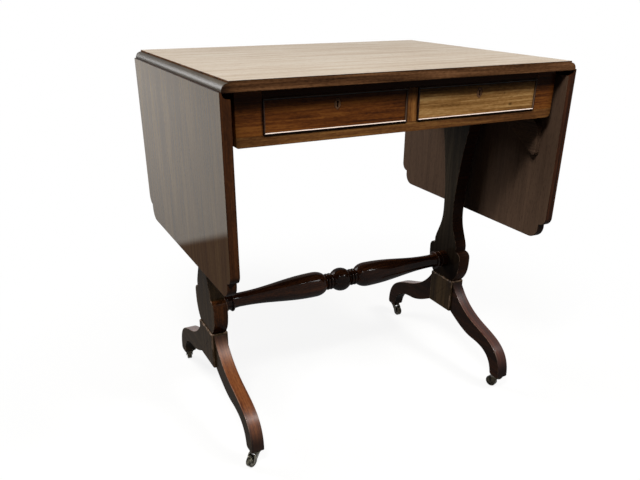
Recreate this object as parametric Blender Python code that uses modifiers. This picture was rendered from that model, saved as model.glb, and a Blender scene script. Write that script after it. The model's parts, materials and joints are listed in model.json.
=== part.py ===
"""Sofa table with two drop leaves on trestle ends, built from the separate pieces a joiner makes.

Metres, +Z up. The origin is on the floor below the middle of the top. The drawers face -Y, and the
leaves hang at -X and +X.
"""
import math

import bmesh
import bpy
from mathutils import Matrix, Vector
from mathutils.geometry import interpolate_bezier

# Fits
GAP = 0.0003
DRAWER_CLEARANCE = 0.0005

# Top and leaves
TABLE_HEIGHT = 0.720
TOP_LENGTH = 0.662
TOP_DEPTH = 0.524
TOP_THICKNESS = 0.017
TOP_OVERHANG = 0.021
JOINT_FILLET = 0.003
PIN_COVER = 0.0025
LEAF_DROP = 0.3355
LEAF_UPPER_ROUND = 0.018
LEAF_LOWER_ROUND = 0.024
LEAF_NICK = 0.007

# Leaf hinges
HINGE_INSET = 0.092
HINGE_WIDTH = 0.045
FLAP_REACH = 0.030
FLAP_THICKNESS = 0.0015
HINGE_PIN_RADIUS = 0.001

# Fly brackets
FLY_THICKNESS = 0.010
FLY_BACK_GAP = 0.0005
FLY_FRONT_GAP = 0.002
FLY_HINGE_Y = 0.046
FLY_END_Y = 0.190
FLY_TAIL_Y = 0.2165
FLY_DEPTH = 0.0655
FLY_TAIL_DROP = 0.1635
FLY_TAIL_HEIGHT = 0.051
FLY_TAIL_ROUND = 0.006
FLY_PIN_RADIUS = 0.0015
FLY_TOP_GAP = 0.0008

# Frieze
FRIEZE_HEIGHT = 0.085
FRIEZE_THICKNESS = 0.020
END_RAIL_THICKNESS = 0.018
LOWER_RAIL_HEIGHT = 0.016
LOWER_RAIL_ROUND = 0.008
UPPER_RAIL_HEIGHT = 0.013
STILE_WIDTH = 0.044
DIVIDER_WIDTH = 0.020
RUNNER_WIDTH = 0.018
GUIDE_HEIGHT = 0.022

# Drawers
DRAWER_FRONT_THICKNESS = 0.018
DRAWER_BACK_ROOM = 0.030
DRAWER_SIDE_THICKNESS = 0.008
DRAWER_BOTTOM_THICKNESS = 0.005
DRAWER_BOTTOM_RISE = 0.005
DRAWER_GROOVE = 0.003
DRAWER_SIDE_DROP = 0.002
DRAWER_BACK_DROP = 0.006
BEAD_WIDTH = 0.003
BEAD_PROUD = 0.0025
BEAD_DEPTH = 0.006

# Trestle ends
TRESTLE_INSET = 0.015
BEARER_THICKNESS = 0.018
BEARER_HALF_LENGTH = 0.150
BEARER_WIDTH = 0.032
BEARER_END_ROUND = 0.012
STANDARD_THICKNESS = 0.030
STANDARD_TOP_HALF = 0.056
STANDARD_FOOT_HALF = 0.038
WAIST_HALF = 0.0185
WAIST_Z = 0.366
COLLAR_HALF = 0.0415
COLLAR_TOP_Z = 0.288
COLLAR_BOTTOM_Z = 0.277
BULB_HALF = 0.059
BULB_ROUND = 0.0145
BLOCK_THICKNESS = 0.036
BLOCK_HALF = 0.041
BLOCK_BOTTOM_Z = 0.122
BLOCK_TOP_Z = 0.201
BLOCK_CHAMFER = 0.003

# Legs
LEG_THICKNESS = 0.026
LEG_REACH = 0.2335
LEG_SHOULDER_DROP = 0.004
LEG_WAIST_Y = 0.128
LEG_WAIST_TOP_Z = 0.130
LEG_WAIST_BOTTOM_Z = 0.0895
TOE_DEPTH = 0.030
TOE_CHAMFER = 0.004

# Stretcher
STRETCHER_Z = 0.2475
BALL_RADIUS = 0.026
BALL_NECK_RADIUS = 0.0145
RING_RADIUS = 0.0185
RING_HALF_WIDTH = 0.003
RING_SPACE = 0.0015
BALUSTER_RADIUS = 0.0275
BALUSTER_PEAK_X = 0.067
NECK_RADIUS = 0.015
NECK_INSET = 0.042
COLLAR_RING_RADIUS = 0.0215
COLLAR_RING_INSET = 0.0265
STRETCHER_END_RADIUS = 0.0195
STRETCHER_END_LENGTH = 0.016
STRETCHER_TENON_RADIUS = 0.009
STRETCHER_TENON_LENGTH = 0.018

# Castors
CASTOR_HEIGHT = 0.032
CASTOR_PLATE_RADIUS = 0.012
CASTOR_PLATE_THICKNESS = 0.0022
WHEEL_RADIUS = 0.0125
WHEEL_WIDTH = 0.011
WHEEL_EDGE = 0.002
AXLE_RADIUS = 0.002
TRAIL = 0.014
PINTLE_RADIUS = 0.003
PINTLE_HEAD_RADIUS = 0.0045
PINTLE_HEAD_THICKNESS = 0.0012
BRIDGE_THICKNESS = 0.003
BRIDGE_RADIUS = 0.0098
CHEEK_THICKNESS = 0.002
CHEEK_BOSS_RADIUS = 0.0045
CASTOR_HEADING_DEG = {"left_front": 212.0, "left_back": 78.0, "right_front": 107.0, "right_back": 270.0}

# Shares of a curve's run and rise by which it leaves its first end and reaches its last
BULB_PULLS = ((1.0, 0.33), (0.0, 0.33))
FLARE_PULLS = ((0.24, 0.30), (0.0, 0.50))
NECK_PULLS = ((0.0, 0.36), (0.48, 0.30))
LEG_SHOULDER_PULLS = ((0.20, 0.45), (0.45, 0.20))
LEG_KNEE_PULLS = ((0.46, 0.18), (0.0, 0.76))
LEG_HEEL_PULLS = ((0.08, 0.70), (0.59, 0.05))
LEG_UNDER_PULLS = ((0.35, 0.06), (0.30, 0.42))
SWELL_PULLS = ((0.20, 0.70), (0.45, 0.0))
TAPER_PULLS = ((0.40, 0.0), (0.40, 0.0))
FLY_NECK_PULLS = ((0.0, 0.35), (0.0, 0.35))
CHEEK_PULLS = ((0.0, 0.90), (0.50, 0.0))

# Smoothness of curves
ARRIS = 0.0007
ARRIS_ANGLE_DEG = 40.0
CURVE_POINTS = 8
ARC_POINTS = 6
RING_POINTS = 5
TURNED_STEPS = 20
WHEEL_STEPS = 24
SMALL_STEPS = 16

# Places worked out from the sizes above
SIDES = {"left": -1, "right": 1}
ENDS = {"front": -1, "back": 1}
UNDER_Z = TABLE_HEIGHT - TOP_THICKNESS
JOINT_RADIUS = TOP_THICKNESS - JOINT_FILLET - PIN_COVER
COVE_RADIUS = JOINT_RADIUS + GAP
PIN_X = TOP_LENGTH / 2
PIN_Z = UNDER_Z + PIN_COVER
HALF_DEPTH = TOP_DEPTH / 2
HINGE_Y = HALF_DEPTH - HINGE_INSET
KNUCKLE_RADIUS = PIN_COVER - GAP
LEAF_INNER_X = PIN_X - PIN_COVER
FRIEZE_X = LEAF_INNER_X - FLY_FRONT_GAP - FLY_THICKNESS - FLY_BACK_GAP
FRIEZE_Y = HALF_DEPTH - TOP_OVERHANG
FRIEZE_TOP_Z = UNDER_Z - GAP
FRIEZE_BOTTOM_Z = UNDER_Z - FRIEZE_HEIGHT
FRIEZE_BACK_Y = FRIEZE_Y - FRIEZE_THICKNESS
OPENING_BOTTOM_Z = FRIEZE_BOTTOM_Z + LOWER_RAIL_HEIGHT
OPENING_TOP_Z = FRIEZE_TOP_Z - UPPER_RAIL_HEIGHT
OPENING_INNER_X = DIVIDER_WIDTH / 2
OPENING_OUTER_X = FRIEZE_X - STILE_WIDTH
DRAWER_BOTTOM_Z = OPENING_BOTTOM_Z + DRAWER_CLEARANCE
DRAWER_TOP_Z = OPENING_TOP_Z - DRAWER_CLEARANCE
TRESTLE_X = FRIEZE_X - TRESTLE_INSET
BEARER_TOP_Z = FRIEZE_BOTTOM_Z - GAP
BEARER_BOTTOM_Z = BEARER_TOP_Z - BEARER_THICKNESS
STANDARD_INNER_X = TRESTLE_X - STANDARD_THICKNESS / 2
TOE_Y = LEG_REACH - TOE_DEPTH / 2
CASTOR_TOP_Z = CASTOR_HEIGHT - GAP
PLATE_BOTTOM_Z = CASTOR_TOP_Z - CASTOR_PLATE_THICKNESS
BRIDGE_TOP_Z = PLATE_BOTTOM_Z - GAP
BRIDGE_BOTTOM_Z = BRIDGE_TOP_Z - BRIDGE_THICKNESS

# How a flat outline (u, v) thickened along w lies in the table's axes
PLANES = {
    "XY": Matrix.Identity(4),
    "XZ": Matrix(((1, 0, 0, 0), (0, 0, 1, 0), (0, 1, 0, 0), (0, 0, 0, 1))),
    "YZ": Matrix(((0, 0, 1, 0), (1, 0, 0, 0), (0, 1, 0, 0), (0, 0, 0, 1))),
}


def clear_scene():
    """Remove what the startup scene holds."""
    for item in list(bpy.data.objects):
        bpy.data.objects.remove(item)


def new_collection(name):
    """Make a collection in the scene."""
    collection = bpy.data.collections.new(name)
    bpy.context.scene.collection.children.link(collection)
    return collection


def new_finish(name, colour, roughness, metallic=0.0):
    """Make a plain material of one colour."""
    finish = bpy.data.materials.new(name)
    finish.use_nodes = True
    shader = finish.node_tree.nodes["Principled BSDF"]
    shader.inputs["Base Color"].default_value = (*colour, 1.0)
    shader.inputs["Roughness"].default_value = roughness
    shader.inputs["Metallic"].default_value = metallic
    return finish


clear_scene()
PARTS = new_collection("sofa_table")
CUTTERS = new_collection("cutters")
MAHOGANY = new_finish("mahogany", (0.13, 0.05, 0.022), 0.32)
SHOW_WOOD = new_finish("figured_mahogany", (0.22, 0.105, 0.042), 0.34)
DRAWER_WOOD = new_finish("drawer_lining_oak", (0.42, 0.27, 0.14), 0.6)
BRASS = new_finish("aged_brass", (0.34, 0.25, 0.11), 0.38, 1.0)
IRON = new_finish("hinge_iron", (0.12, 0.11, 0.10), 0.5, 1.0)


def add_object(name, mesh, finish):
    """Put a mesh in the table's collection under its own name."""
    item = bpy.data.objects.new(name, mesh)
    if finish:
        mesh.materials.append(finish)
    PARTS.objects.link(item)
    return item


def tidy_mesh(mesh):
    """Weld a mesh's doubles, merge its flat faces and turn the faces outwards."""
    weld_distance = 0.000005
    flat_angle = 0.0005
    work = bmesh.new()
    work.from_mesh(mesh)
    bmesh.ops.remove_doubles(work, verts=work.verts, dist=weld_distance)
    bmesh.ops.dissolve_limit(work, angle_limit=flat_angle, verts=work.verts, edges=work.edges)
    bmesh.ops.recalc_face_normals(work, faces=work.faces)
    work.to_mesh(mesh)
    work.free()


def arc(centre, radius, start_deg, end_deg, points=ARC_POINTS):
    """Points along an arc, both ends included."""
    turn = [math.radians(start_deg + (end_deg - start_deg) * i / (points - 1)) for i in range(points)]
    return [(centre[0] + radius * math.cos(a), centre[1] + radius * math.sin(a)) for a in turn]


def sweep(start, end, pulls, points=CURVE_POINTS):
    """Points along a cubic curve between two ends, both included, drawn out by its pulls."""
    (leave_u, leave_v), (reach_u, reach_v) = pulls
    run = end[0] - start[0]
    rise = end[1] - start[1]
    handle_a = (start[0] + run * leave_u, start[1] + rise * leave_v)
    handle_b = (end[0] - run * reach_u, end[1] - rise * reach_v)
    knots = [Vector((u, v, 0)) for u, v in (start, handle_a, handle_b, end)]
    return [(p.x, p.y) for p in interpolate_bezier(*knots, points)]


def mirrored(half):
    """Close a half outline that runs up the +u side by its mirror image."""
    return half + [(-u, v) for u, v in reversed(half)]


def distinct(outline):
    """Leave out points that repeat the one before them."""
    same = 0.000001
    kept = []
    for point in outline:
        if not kept or math.dist(point, kept[-1]) > same:
            kept.append(point)
    if math.dist(kept[0], kept[-1]) < same:
        kept.pop()
    return kept


def board(name, outline, low, high, plane, finish=None):
    """Cut a flat outline out of a board that runs from low to high across its plane."""
    shape = bpy.data.curves.new(name, "CURVE")
    shape.dimensions = "2D"
    shape.fill_mode = "BOTH"
    shape.extrude = (high - low) / 2
    points = distinct(outline)
    spline = shape.splines.new("POLY")
    spline.points.add(len(points) - 1)
    for knot, (u, v) in zip(spline.points, points):
        knot.co = (u, v, 0, 1)
    spline.use_cyclic_u = True
    pattern = bpy.data.objects.new(name + "_outline", shape)
    PARTS.objects.link(pattern)
    mesh = bpy.data.meshes.new_from_object(pattern.evaluated_get(bpy.context.evaluated_depsgraph_get()))
    mesh.name = name
    bpy.data.objects.remove(pattern)
    mesh.transform(PLANES[plane] @ Matrix.Translation((0, 0, (low + high) / 2)))
    tidy_mesh(mesh)
    mesh.materials.clear()
    return add_object(name, mesh, finish)


def box(name, low, high, finish=None):
    """Make a squared block between two corners."""
    work = bmesh.new()
    bmesh.ops.create_cube(work, size=1.0)
    low = Vector(low)
    high = Vector(high)
    bmesh.ops.scale(work, vec=high - low, verts=work.verts)
    bmesh.ops.translate(work, vec=(low + high) / 2, verts=work.verts)
    mesh = bpy.data.meshes.new(name)
    work.to_mesh(mesh)
    work.free()
    return add_object(name, mesh, finish)


def rod(name, start, end, radius, finish=None, steps=SMALL_STEPS):
    """Make a round bar between two points."""
    start = Vector(start)
    end = Vector(end)
    along = end - start
    place = Matrix.Translation((start + end) / 2) @ along.to_track_quat("Z", "Y").to_matrix().to_4x4()
    work = bmesh.new()
    bmesh.ops.create_cone(
        work, cap_ends=True, segments=steps, radius1=radius, radius2=radius, depth=along.length, matrix=place
    )
    mesh = bpy.data.meshes.new(name)
    work.to_mesh(mesh)
    work.free()
    return add_object(name, mesh, finish)


def turned(name, profile, finish, steps=TURNED_STEPS):
    """Turn a profile of (radius, height) points, top to bottom, about the object's own Z axis."""
    mesh = bpy.data.meshes.new(name)
    edges = [(i, i + 1) for i in range(len(profile) - 1)]
    mesh.from_pydata([(radius, 0, height) for radius, height in profile], edges, [])
    item = add_object(name, mesh, finish)
    lathe = item.modifiers.new("lathe", "SCREW")
    lathe.steps = steps
    lathe.render_steps = steps
    lathe.use_merge_vertices = True
    lathe.merge_threshold = 0.00001
    return item


def ease(item, width=ARRIS):
    """Take the sharpness off an item's arrises."""
    bevel = item.modifiers.new("eased_arrises", "BEVEL")
    bevel.width = width
    bevel.segments = 1
    bevel.limit_method = "ANGLE"
    bevel.angle_limit = math.radians(ARRIS_ANGLE_DEG)
    return item


def combine(item, tool, operation):
    """Cut a tool out of an item, join it on, or keep what they share."""
    PARTS.objects.unlink(tool)
    CUTTERS.objects.link(tool)
    tool.hide_render = True
    tool.display_type = "WIRE"
    change = item.modifiers.new(tool.name, "BOOLEAN")
    change.operation = operation
    change.object = tool
    return item


def hold_on(item, pivot):
    """Parent an item to a pivot without moving it."""
    bpy.context.view_layer.update()
    item.parent = pivot
    item.matrix_parent_inverse = pivot.matrix_world.inverted()
    return item


def pivot_at(name, location, heading_deg=0.0):
    """Make an empty on the axis of a joint."""
    pivot = bpy.data.objects.new(name, None)
    pivot.location = location
    pivot.rotation_euler = (0, 0, math.radians(heading_deg))
    PARTS.objects.link(pivot)
    return pivot


def rectangle(low_u, low_v, high_u, high_v):
    """The corners of a rectangle."""
    return [(low_u, low_v), (high_u, low_v), (high_u, high_v), (low_u, high_v)]


def flipped(outline, side):
    """Mirror an outline across u = 0 for the left side."""
    return [(side * u, v) for u, v in outline]


def span(a, b, side):
    """The low and high ends of a stretch from a to b, mirrored for the left side."""
    return sorted((side * a, side * b))


def make_top():
    """The fixed top: square at front and back, with the rule joint's fillet and ovolo at each end."""
    foot_deg = -math.degrees(math.asin(PIN_COVER / JOINT_RADIUS))
    half = arc((PIN_X, PIN_Z), JOINT_RADIUS, foot_deg, 90)
    half += [(PIN_X, TABLE_HEIGHT)]
    return board("top_board", mirrored(half), -HALF_DEPTH, HALF_DEPTH, "XZ", MAHOGANY)


def leaf_outline():
    """A hanging leaf seen along X: square above, a double ovolo with a nick at each lower corner."""
    foot = PIN_Z - LEAF_DROP
    lower_centre = (HALF_DEPTH - LEAF_UPPER_ROUND - LEAF_LOWER_ROUND, foot + LEAF_LOWER_ROUND)
    upper_z = foot + LEAF_LOWER_ROUND + LEAF_NICK + LEAF_UPPER_ROUND
    half = arc(lower_centre, LEAF_LOWER_ROUND, -90, 0)
    half += arc((HALF_DEPTH - LEAF_UPPER_ROUND, upper_z), LEAF_UPPER_ROUND, -90, 0)
    half += [(HALF_DEPTH, TABLE_HEIGHT)]
    return mirrored(half)


def make_leaf(name, side):
    """A leaf hanging from its pin line, with the cove that rides round the top's ovolo."""
    lip_deg = -math.degrees(math.asin(GAP / COVE_RADIUS))
    outer_x = PIN_X + JOINT_RADIUS + JOINT_FILLET
    foot = PIN_Z - LEAF_DROP
    section = [(LEAF_INNER_X, foot), (outer_x, foot), (outer_x, PIN_Z - GAP)]
    section += arc((PIN_X, PIN_Z), COVE_RADIUS, lip_deg, -90)
    section += [(LEAF_INNER_X, PIN_Z - COVE_RADIUS)]
    leaf = board(name + "_leaf", flipped(section, side), -HALF_DEPTH, HALF_DEPTH, "XZ", MAHOGANY)
    low, high = span(LEAF_INNER_X - TOP_THICKNESS, outer_x + TOP_THICKNESS, side)
    return combine(leaf, board(name + "_leaf_shape", leaf_outline(), low, high, "YZ"), "INTERSECT")


def make_fixed_flap(name, side, middle_y, top):
    """The hinge flap let into the top: two outer knuckles, the pin, and a plate notched round the third."""
    third = HINGE_WIDTH / 6
    half = HINGE_WIDTH / 2
    clear = PIN_COVER + GAP
    plate_top = UNDER_Z + FLAP_THICKNESS
    reach = PIN_X - FLAP_REACH
    notch = PIN_X - clear
    outline = [(reach, -half), (PIN_X, -half), (PIN_X, -third), (notch, -third)]
    outline += [(u, -v) for u, v in reversed(outline)]
    placed = [(side * u, middle_y + v) for u, v in outline]
    flap = board(name + "_fixed_flap", placed, UNDER_Z, plate_top, "XY", IRON)
    for low, high, radius in (
        (-half, -third, KNUCKLE_RADIUS),
        (third, half, KNUCKLE_RADIUS),
        (-half + GAP, half - GAP, HINGE_PIN_RADIUS),
    ):
        start = (side * PIN_X, middle_y + low, PIN_Z)
        end = (side * PIN_X, middle_y + high, PIN_Z)
        combine(flap, rod(f"{name}_knuckle_{low:+.4f}", start, end, radius), "UNION")
    low_x, high_x = span(reach - GAP, PIN_X + COVE_RADIUS, side)
    low_corner = (low_x, middle_y - half - GAP, UNDER_Z - FLAP_THICKNESS)
    high_corner = (high_x, middle_y + half + GAP, plate_top + GAP)
    combine(top, box(name + "_top_pocket", low_corner, high_corner), "DIFFERENCE")
    start = (side * PIN_X, middle_y - half - GAP, PIN_Z)
    end = (side * PIN_X, middle_y + half + GAP, PIN_Z)
    combine(top, rod(name + "_top_hollow", start, end, PIN_COVER + 2 * GAP), "DIFFERENCE")
    return flap


def make_leaf_flap(name, side, middle_y, leaf):
    """The hinge flap let into the leaf, shown hanging: one knuckle round the pin and a long plate."""
    third = HINGE_WIDTH / 6 - GAP
    half = HINGE_WIDTH / 2
    near = PIN_Z - PIN_COVER - GAP
    far = PIN_Z - COVE_RADIUS - FLAP_REACH
    outline = [(-half, far), (-half, near), (-third, near), (-third, PIN_Z)]
    outline += [(-u, v) for u, v in reversed(outline)]
    placed = [(middle_y + u, v) for u, v in outline]
    low, high = span(LEAF_INNER_X, LEAF_INNER_X + FLAP_THICKNESS, side)
    flap = board(name + "_leaf_flap", placed, low, high, "YZ", IRON)
    start = Vector((side * PIN_X, middle_y - third, PIN_Z))
    end = Vector((side * PIN_X, middle_y + third, PIN_Z))
    past = Vector((0, HINGE_WIDTH, 0))
    combine(flap, rod(name + "_leaf_knuckle", start, end, KNUCKLE_RADIUS), "UNION")
    bore = rod(name + "_leaf_bore", start - past, end + past, HINGE_PIN_RADIUS + GAP)
    combine(flap, bore, "DIFFERENCE")
    low, high = span(LEAF_INNER_X - FLAP_THICKNESS, LEAF_INNER_X + FLAP_THICKNESS + GAP, side)
    pocket_low = (low, middle_y - half - GAP, far - GAP)
    pocket_high = (high, middle_y + half + GAP, PIN_Z)
    combine(leaf, box(name + "_leaf_pocket", pocket_low, pocket_high), "DIFFERENCE")
    return flap


def make_top_and_leaves():
    """The top, its two leaves and the four hinges between them."""
    top = make_top()
    for name, side in SIDES.items():
        leaf = make_leaf(name, side)
        pivot = pivot_at(name + "_leaf_pivot", (side * PIN_X, 0, PIN_Z))
        hold_on(leaf, pivot)
        for end_name, end in ENDS.items():
            hinge = f"{name}_{end_name}_hinge"
            make_fixed_flap(hinge, side, end * HINGE_Y, top)
            hold_on(make_leaf_flap(hinge, side, end * HINGE_Y, leaf), pivot)


def make_frieze_front():
    """Lower rail the whole length, with stiles, centre division and upper rail standing on it."""
    radius = LOWER_RAIL_ROUND
    half = arc((FRIEZE_X - radius, FRIEZE_BOTTOM_Z + radius), radius, -90, 0)
    half += [(FRIEZE_X, OPENING_BOTTOM_Z)]
    ease(board("front_lower_rail", mirrored(half), -FRIEZE_Y, -FRIEZE_BACK_Y, "XZ", SHOW_WOOD))
    foot = OPENING_BOTTOM_Z + GAP
    for name, side in SIDES.items():
        low, high = span(OPENING_OUTER_X, FRIEZE_X, side)
        stile_top = (high, -FRIEZE_BACK_Y, FRIEZE_TOP_Z)
        ease(box(name + "_front_stile", (low, -FRIEZE_Y, foot), stile_top, SHOW_WOOD))
    rail_half = OPENING_OUTER_X - GAP
    rail_low = (-rail_half, -FRIEZE_Y, OPENING_TOP_Z)
    ease(box("front_upper_rail", rail_low, (rail_half, -FRIEZE_BACK_Y, FRIEZE_TOP_Z), SHOW_WOOD))
    division_low = (-OPENING_INNER_X, -FRIEZE_Y, foot)
    division_high = (OPENING_INNER_X, -FRIEZE_BACK_Y, OPENING_TOP_Z - GAP)
    ease(box("drawer_division", division_low, division_high, SHOW_WOOD))


def bead_frame(name, low_x, high_x, low_z, high_z, low_y, high_y, finish=None):
    """A bead round a rectangle, its outer arrises rounded over."""
    frame = ease(box(name, (low_x, low_y, low_z), (high_x, high_y, high_z), finish), BEAD_WIDTH / 3)
    inner_low = (low_x + BEAD_WIDTH, low_y - BEAD_PROUD, low_z + BEAD_WIDTH)
    inner_high = (high_x - BEAD_WIDTH, high_y + BEAD_PROUD, high_z - BEAD_WIDTH)
    return combine(frame, box(name + "_inside", inner_low, inner_high), "DIFFERENCE")


def make_back_rail():
    """The back of the frieze, beaded to match the front as two dummy drawers."""
    rail_low = (-FRIEZE_X, FRIEZE_BACK_Y, FRIEZE_BOTTOM_Z)
    rail = ease(box("back_rail", rail_low, (FRIEZE_X, FRIEZE_Y, FRIEZE_TOP_Z), SHOW_WOOD))
    sink = BEAD_WIDTH / 2
    for name, side in SIDES.items():
        low, high = span(OPENING_INNER_X, OPENING_OUTER_X, side)
        low_y = FRIEZE_Y - sink
        high_y = FRIEZE_Y + BEAD_PROUD
        bead_name = name + "_dummy_bead"
        bead = bead_frame(bead_name, low, high, OPENING_BOTTOM_Z, OPENING_TOP_Z, low_y, high_y)
        combine(rail, bead, "UNION")


def fly_finger_heights():
    """The three finger joints of a fly bracket's wooden knuckle, from below upwards."""
    top = UNDER_Z - FLY_TOP_GAP
    foot = top - FLY_DEPTH
    third = FLY_DEPTH / 3
    return foot, foot + third, top - third, top


def make_end_rail(name, side):
    """An end of the frieze: drawer runner, guide and kicker inside, the fly brackets' block outside."""
    inside_x = FRIEZE_X - END_RAIL_THICKNESS
    guide_x = OPENING_OUTER_X
    runner_x = guide_x - RUNNER_WIDTH
    guide_z = OPENING_BOTTOM_Z + GUIDE_HEIGHT
    kicker_z = OPENING_TOP_Z
    section = [(FRIEZE_X, FRIEZE_BOTTOM_Z), (FRIEZE_X, FRIEZE_TOP_Z), (runner_x, FRIEZE_TOP_Z)]
    section += [(runner_x, kicker_z), (inside_x, kicker_z), (inside_x, guide_z), (guide_x, guide_z)]
    section += [(guide_x, OPENING_BOTTOM_Z), (runner_x, OPENING_BOTTOM_Z), (runner_x, FRIEZE_BOTTOM_Z)]
    reach = FRIEZE_BACK_Y - GAP
    rail = board(name + "_end_rail", flipped(section, side), -reach, reach, "XZ", MAHOGANY)
    foot, finger_low, finger_high, top = fly_finger_heights()
    radius = FLY_THICKNESS / 2
    centre_x = FRIEZE_X + FLY_BACK_GAP + radius
    block_y = FLY_HINGE_Y - radius - GAP
    low, high = span(FRIEZE_X - END_RAIL_THICKNESS / 2, centre_x + radius, side)
    combine(rail, box(name + "_fly_block", (low, -block_y, foot), (high, block_y, top)), "UNION")
    for end_name, end in ENDS.items():
        tag = f"{name}_{end_name}_fly"
        knuckle_y = end * FLY_HINGE_Y
        start = (side * centre_x, knuckle_y, finger_low + GAP)
        finish_point = (side * centre_x, knuckle_y, finger_high - GAP)
        combine(rail, rod(tag + "_fixed_finger", start, finish_point, radius), "UNION")
        web_y = sorted((knuckle_y, end * (block_y - radius)))
        web_low = (low, web_y[0], finger_low + GAP)
        web_high = (side * centre_x, web_y[1], finger_high - GAP)
        corners = [sorted(pair) for pair in zip(web_low, web_high)]
        web = box(tag + "_web", [pair[0] for pair in corners], [pair[1] for pair in corners])
        combine(rail, web, "UNION")
        pin_foot = (side * centre_x, knuckle_y, foot)
        pin_top = (side * centre_x, knuckle_y, top)
        combine(rail, rod(tag + "_pin", pin_foot, pin_top, FLY_PIN_RADIUS), "UNION")
    return rail


def make_fly(name, side, end):
    """A fly bracket folded behind its leaf: a knuckle, a level top edge and a tail below the frieze."""
    foot, finger_low, finger_high, top = fly_finger_heights()
    radius = FLY_THICKNESS / 2
    low_x, high_x = span(FRIEZE_X + FLY_BACK_GAP, FRIEZE_X + FLY_BACK_GAP + FLY_THICKNESS, side)
    centre_x = side * (FRIEZE_X + FLY_BACK_GAP + radius)
    tail_z = UNDER_Z - FLY_TAIL_DROP
    tail_top = tail_z + FLY_TAIL_HEIGHT
    neck_z = FRIEZE_BOTTOM_Z
    tip = (FLY_TAIL_Y - FLY_TAIL_ROUND, tail_z + FLY_TAIL_ROUND)
    outline = [(FLY_HINGE_Y, foot)]
    outline += arc(tip, FLY_TAIL_ROUND, -120, 0)
    outline += sweep((FLY_TAIL_Y, tail_top), (FLY_END_Y, neck_z), FLY_NECK_PULLS)
    outline += [(FLY_END_Y, top), (FLY_HINGE_Y, top)]
    fly = board(f"{name}_fly", flipped(outline, end), low_x, high_x, "YZ", MAHOGANY)
    barrel_foot = (centre_x, end * FLY_HINGE_Y, foot)
    barrel_top = (centre_x, end * FLY_HINGE_Y, top)
    combine(fly, rod(name + "_fly_barrel", barrel_foot, barrel_top, radius), "UNION")
    notch_reach = radius + GAP
    low_y, high_y = span(FLY_HINGE_Y - 2 * radius, FLY_HINGE_Y + notch_reach, end)
    notch_low = (low_x - radius, low_y, finger_low)
    notch_high = (high_x + radius, high_y, finger_high)
    combine(fly, box(name + "_fly_notch", notch_low, notch_high), "DIFFERENCE")
    bore_foot = (centre_x, end * FLY_HINGE_Y, foot - radius)
    bore_top = (centre_x, end * FLY_HINGE_Y, top + radius)
    combine(fly, rod(name + "_fly_bore", bore_foot, bore_top, FLY_PIN_RADIUS + GAP), "DIFFERENCE")
    return fly


def make_centre_runner():
    """The I-shaped runner, guide and kicker between the two drawers."""
    wing = OPENING_INNER_X + RUNNER_WIDTH
    web = OPENING_INNER_X - GAP
    half = [(wing, FRIEZE_BOTTOM_Z), (wing, OPENING_BOTTOM_Z), (web, OPENING_BOTTOM_Z)]
    half += [(web, OPENING_TOP_Z), (wing, OPENING_TOP_Z), (wing, FRIEZE_TOP_Z)]
    reach = FRIEZE_BACK_Y - GAP
    board("centre_runner", mirrored(half), -reach, reach, "XZ", DRAWER_WOOD)


def make_frieze():
    """The box below the top that holds the drawers."""
    make_frieze_front()
    make_back_rail()
    make_centre_runner()
    for name, side in SIDES.items():
        make_end_rail(name, side)
        for end_name, end in ENDS.items():
            make_fly(f"{name}_{end_name}", side, end)


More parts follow.
